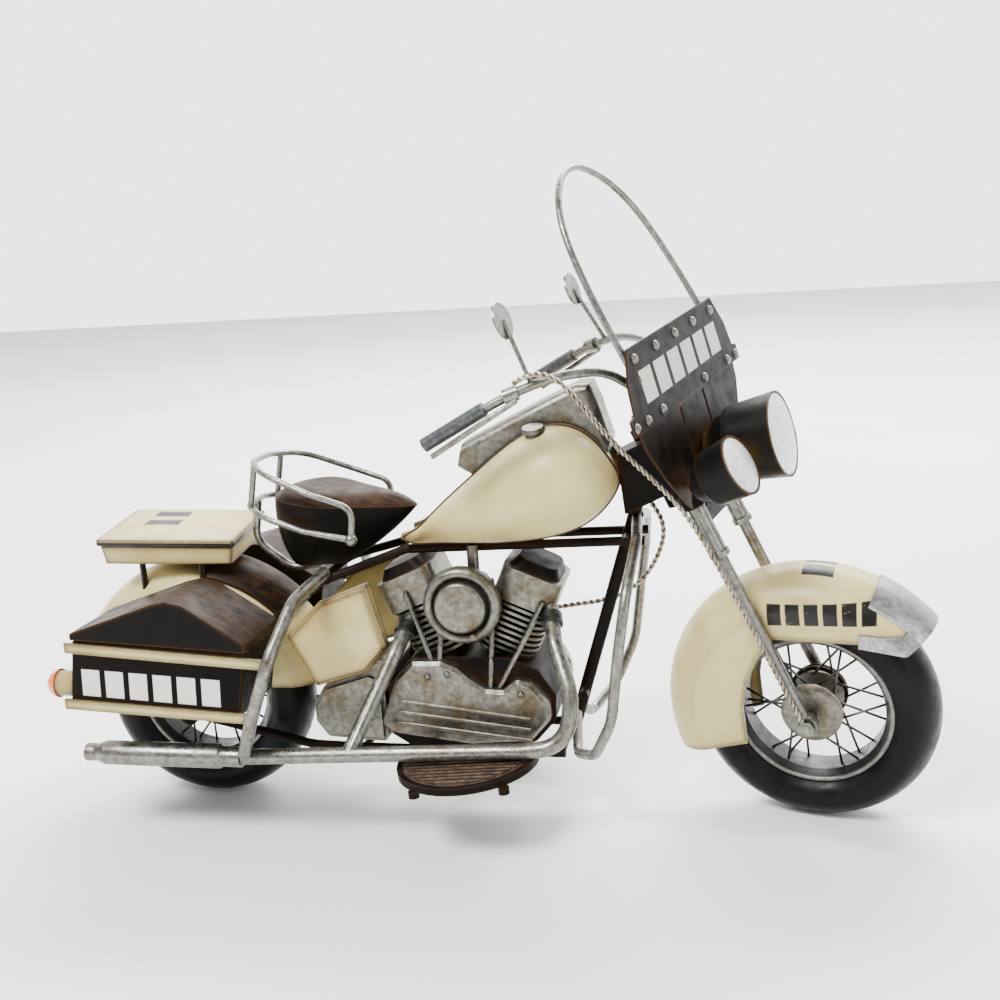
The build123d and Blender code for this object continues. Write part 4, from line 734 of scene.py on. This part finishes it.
def strands(name, points):
    """Two round wires twisted about a route."""
    route = smooth_route(points)
    data = bpy.data.curves.new(name, "CURVE")
    data.dimensions = "3D"
    data.bevel_depth = STRAND_RADIUS * MM
    data.bevel_resolution = 3
    data.use_fill_caps = True
    step = 0.5 * MM
    even = [route[0]]
    for start, end in zip(route, route[1:]):
        count = max(1, int((end - start).length / step))
        even += [start.lerp(end, (index + 1) / count) for index in range(count)]
    side = (even[1] - even[0]).orthogonal().normalized()
    offset = (CABLE_RADIUS - STRAND_RADIUS) * MM
    for phase in (0.0, math.pi):
        spline = data.splines.new("POLY")
        spline.points.add(len(even) - 1)
        travelled = 0.0
        across = side.copy()
        for index, here in enumerate(even):
            ahead = even[min(index + 1, len(even) - 1)] - even[max(index - 1, 0)]
            ahead.normalize()
            across = (across - ahead * across.dot(ahead)).normalized()
            if index:
                travelled += (here - even[index - 1]).length
            turn = phase + 2 * math.pi * travelled / (TWIST_PITCH * MM)
            arm = Matrix.Rotation(turn, 3, ahead) @ across
            spline.points[index].co = (*(here + arm * offset), 1.0)
    twisted = bpy.data.objects.new(name, data)
    bpy.context.scene.collection.objects.link(twisted)
    twisted.data.materials.append(wire)
    return twisted


BRAKE_ROUTE = [
    (31.0, -44.4, 188.6),
    (38.4, -46.4, 193.4),
    (49.0, -46.0, 191.4),
    (56.5, -44.4, 181.6),
    (63.6, -41.6, 170.4),
    (70.4, -37.8, 160.4),
    (79.0, -33.0, 149.6),
    (88.4, -28.8, 137.4),
    (97.0, -26.8, 121.6),
    (105.0, -26.4, 105.2),
    (113.2, -26.4, 88.6),
    (121.4, -26.3, 71.4),
    (130.6, -25.2, 51.6),
]
ENGINE_ROUTE = [
    (66.6, 4.0, 131.0),
    (71.4, 4.0, 124.6),
    (72.8, 4.4, 116.0),
    (69.8, 4.8, 106.8),
    (64.2, 5.4, 97.6),
    (56.0, 6.0, 90.8),
    (45.5, 6.0, 87.0),
    (35.0, 5.4, 85.8),
    (25.4, 5.0, 84.2),
]
brake_wire = strands("brake_wire", [steered(*point) for point in BRAKE_ROUTE])
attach(brake_wire, "front_end")
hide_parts("brake_cable")
engine_wire = strands("engine_wire", [still(*point) for point in ENGINE_ROUTE])
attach(engine_wire, "frame")
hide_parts("engine_cable")

# ------------------------------------------------------------------ stage, light and camera
floor_shader = Shader("pale_floor", (0.86, 0.86, 0.85), 0.0, 0.65)
floor_shader.colour(
    floor_shader.mix(
        floor_shader.ramp(floor_shader.noise(240.0, 3.0), 0.35, 0.7),
        (0.84, 0.84, 0.83),
        (0.88, 0.88, 0.87),
    )
)
FLOOR_SIZE = 8.0
bpy.ops.mesh.primitive_plane_add(size=FLOOR_SIZE, location=(0, 0, 0))
floor = bpy.context.object
floor.name = "floor"
floor.data.materials.append(floor_shader.material)

# The sky is dim in front and bright behind; it fades along the y part of each direction.
SKY_SIDES = (-0.05, 0.75)
SKY_STRENGTHS = (0.65, 3.4)
world = bpy.data.worlds.new("studio")
bpy.context.scene.world = world
world.use_nodes = True
sky = world.node_tree.nodes["Background"]
toward = world.node_tree.nodes.new("ShaderNodeTexCoord")
split = world.node_tree.nodes.new("ShaderNodeSeparateXYZ")
fade = world.node_tree.nodes.new("ShaderNodeMapRange")
fade.interpolation_type = "SMOOTHSTEP"
for key, number in enumerate((*SKY_SIDES, *SKY_STRENGTHS), start=1):
    fade.inputs[key].default_value = number
world.node_tree.links.new(toward.outputs["Generated"], split.inputs[0])
world.node_tree.links.new(split.outputs["Y"], fade.inputs[0])
world.node_tree.links.new(fade.outputs[0], sky.inputs["Strength"])
sky.inputs["Color"].default_value = (1.0, 1.0, 1.0, 1)


def softbox(name, place, target, size, power):
    """A large soft light aimed at a point."""
    data = bpy.data.lights.new(name, "AREA")
    data.shape = "RECTANGLE"
    data.size = size[0]
    data.size_y = size[1]
    data.energy = power
    lamp = bpy.data.objects.new(name, data)
    bpy.context.scene.collection.objects.link(lamp)
    lamp.location = place
    lamp.rotation_euler = (Vector(target) - Vector(place)).to_track_quat("-Z", "Y").to_euler()
    return lamp


MIDDLE = (0.0, 0.0, 0.11)
softbox("key", (-0.40, -0.70, 1.10), MIDDLE, (0.5, 0.35), 30.0)
softbox("fill", (0.95, -0.55, 0.45), MIDDLE, (0.25, 0.6), 3.0)
softbox("back", (0.15, 0.8, 0.9), MIDDLE, (0.9, 0.4), 14.0)
softbox("floor_wash", (0.1, 1.2, 1.5), (0.1, 1.9, 0.0), (2.0, 1.0), 110.0)

CAMERA_AZIMUTH = math.radians(12.654)
CAMERA_ELEVATION = math.radians(12.363)
CAMERA_ROLL = math.radians(-3.627)
CAMERA_DISTANCE = 480.7
CAMERA_TARGET = (6.16, 0.0, 132.24)
LENS_PER_SENSOR = 1.16593
right = Vector((math.cos(CAMERA_AZIMUTH), math.sin(CAMERA_AZIMUTH), 0))
back = Vector(
    (
        math.sin(CAMERA_AZIMUTH) * math.cos(CAMERA_ELEVATION),
        -math.cos(CAMERA_AZIMUTH) * math.cos(CAMERA_ELEVATION),
        math.sin(CAMERA_ELEVATION),
    )
)
up = back.cross(right)
rolled_right = right * math.cos(CAMERA_ROLL) + up * math.sin(CAMERA_ROLL)
rolled_up = up * math.cos(CAMERA_ROLL) - right * math.sin(CAMERA_ROLL)
place = still(*CAMERA_TARGET) + back * CAMERA_DISTANCE * MM
camera_data = bpy.data.cameras.new("camera")
camera_data.sensor_width = 36.0
camera_data.lens = 36.0 * LENS_PER_SENSOR
camera = bpy.data.objects.new("camera", camera_data)
bpy.context.scene.collection.objects.link(camera)
turn = Matrix((rolled_right, rolled_up, back)).transposed().to_4x4()
camera.matrix_world = Matrix.Translation(place) @ turn
bpy.context.scene.camera = camera

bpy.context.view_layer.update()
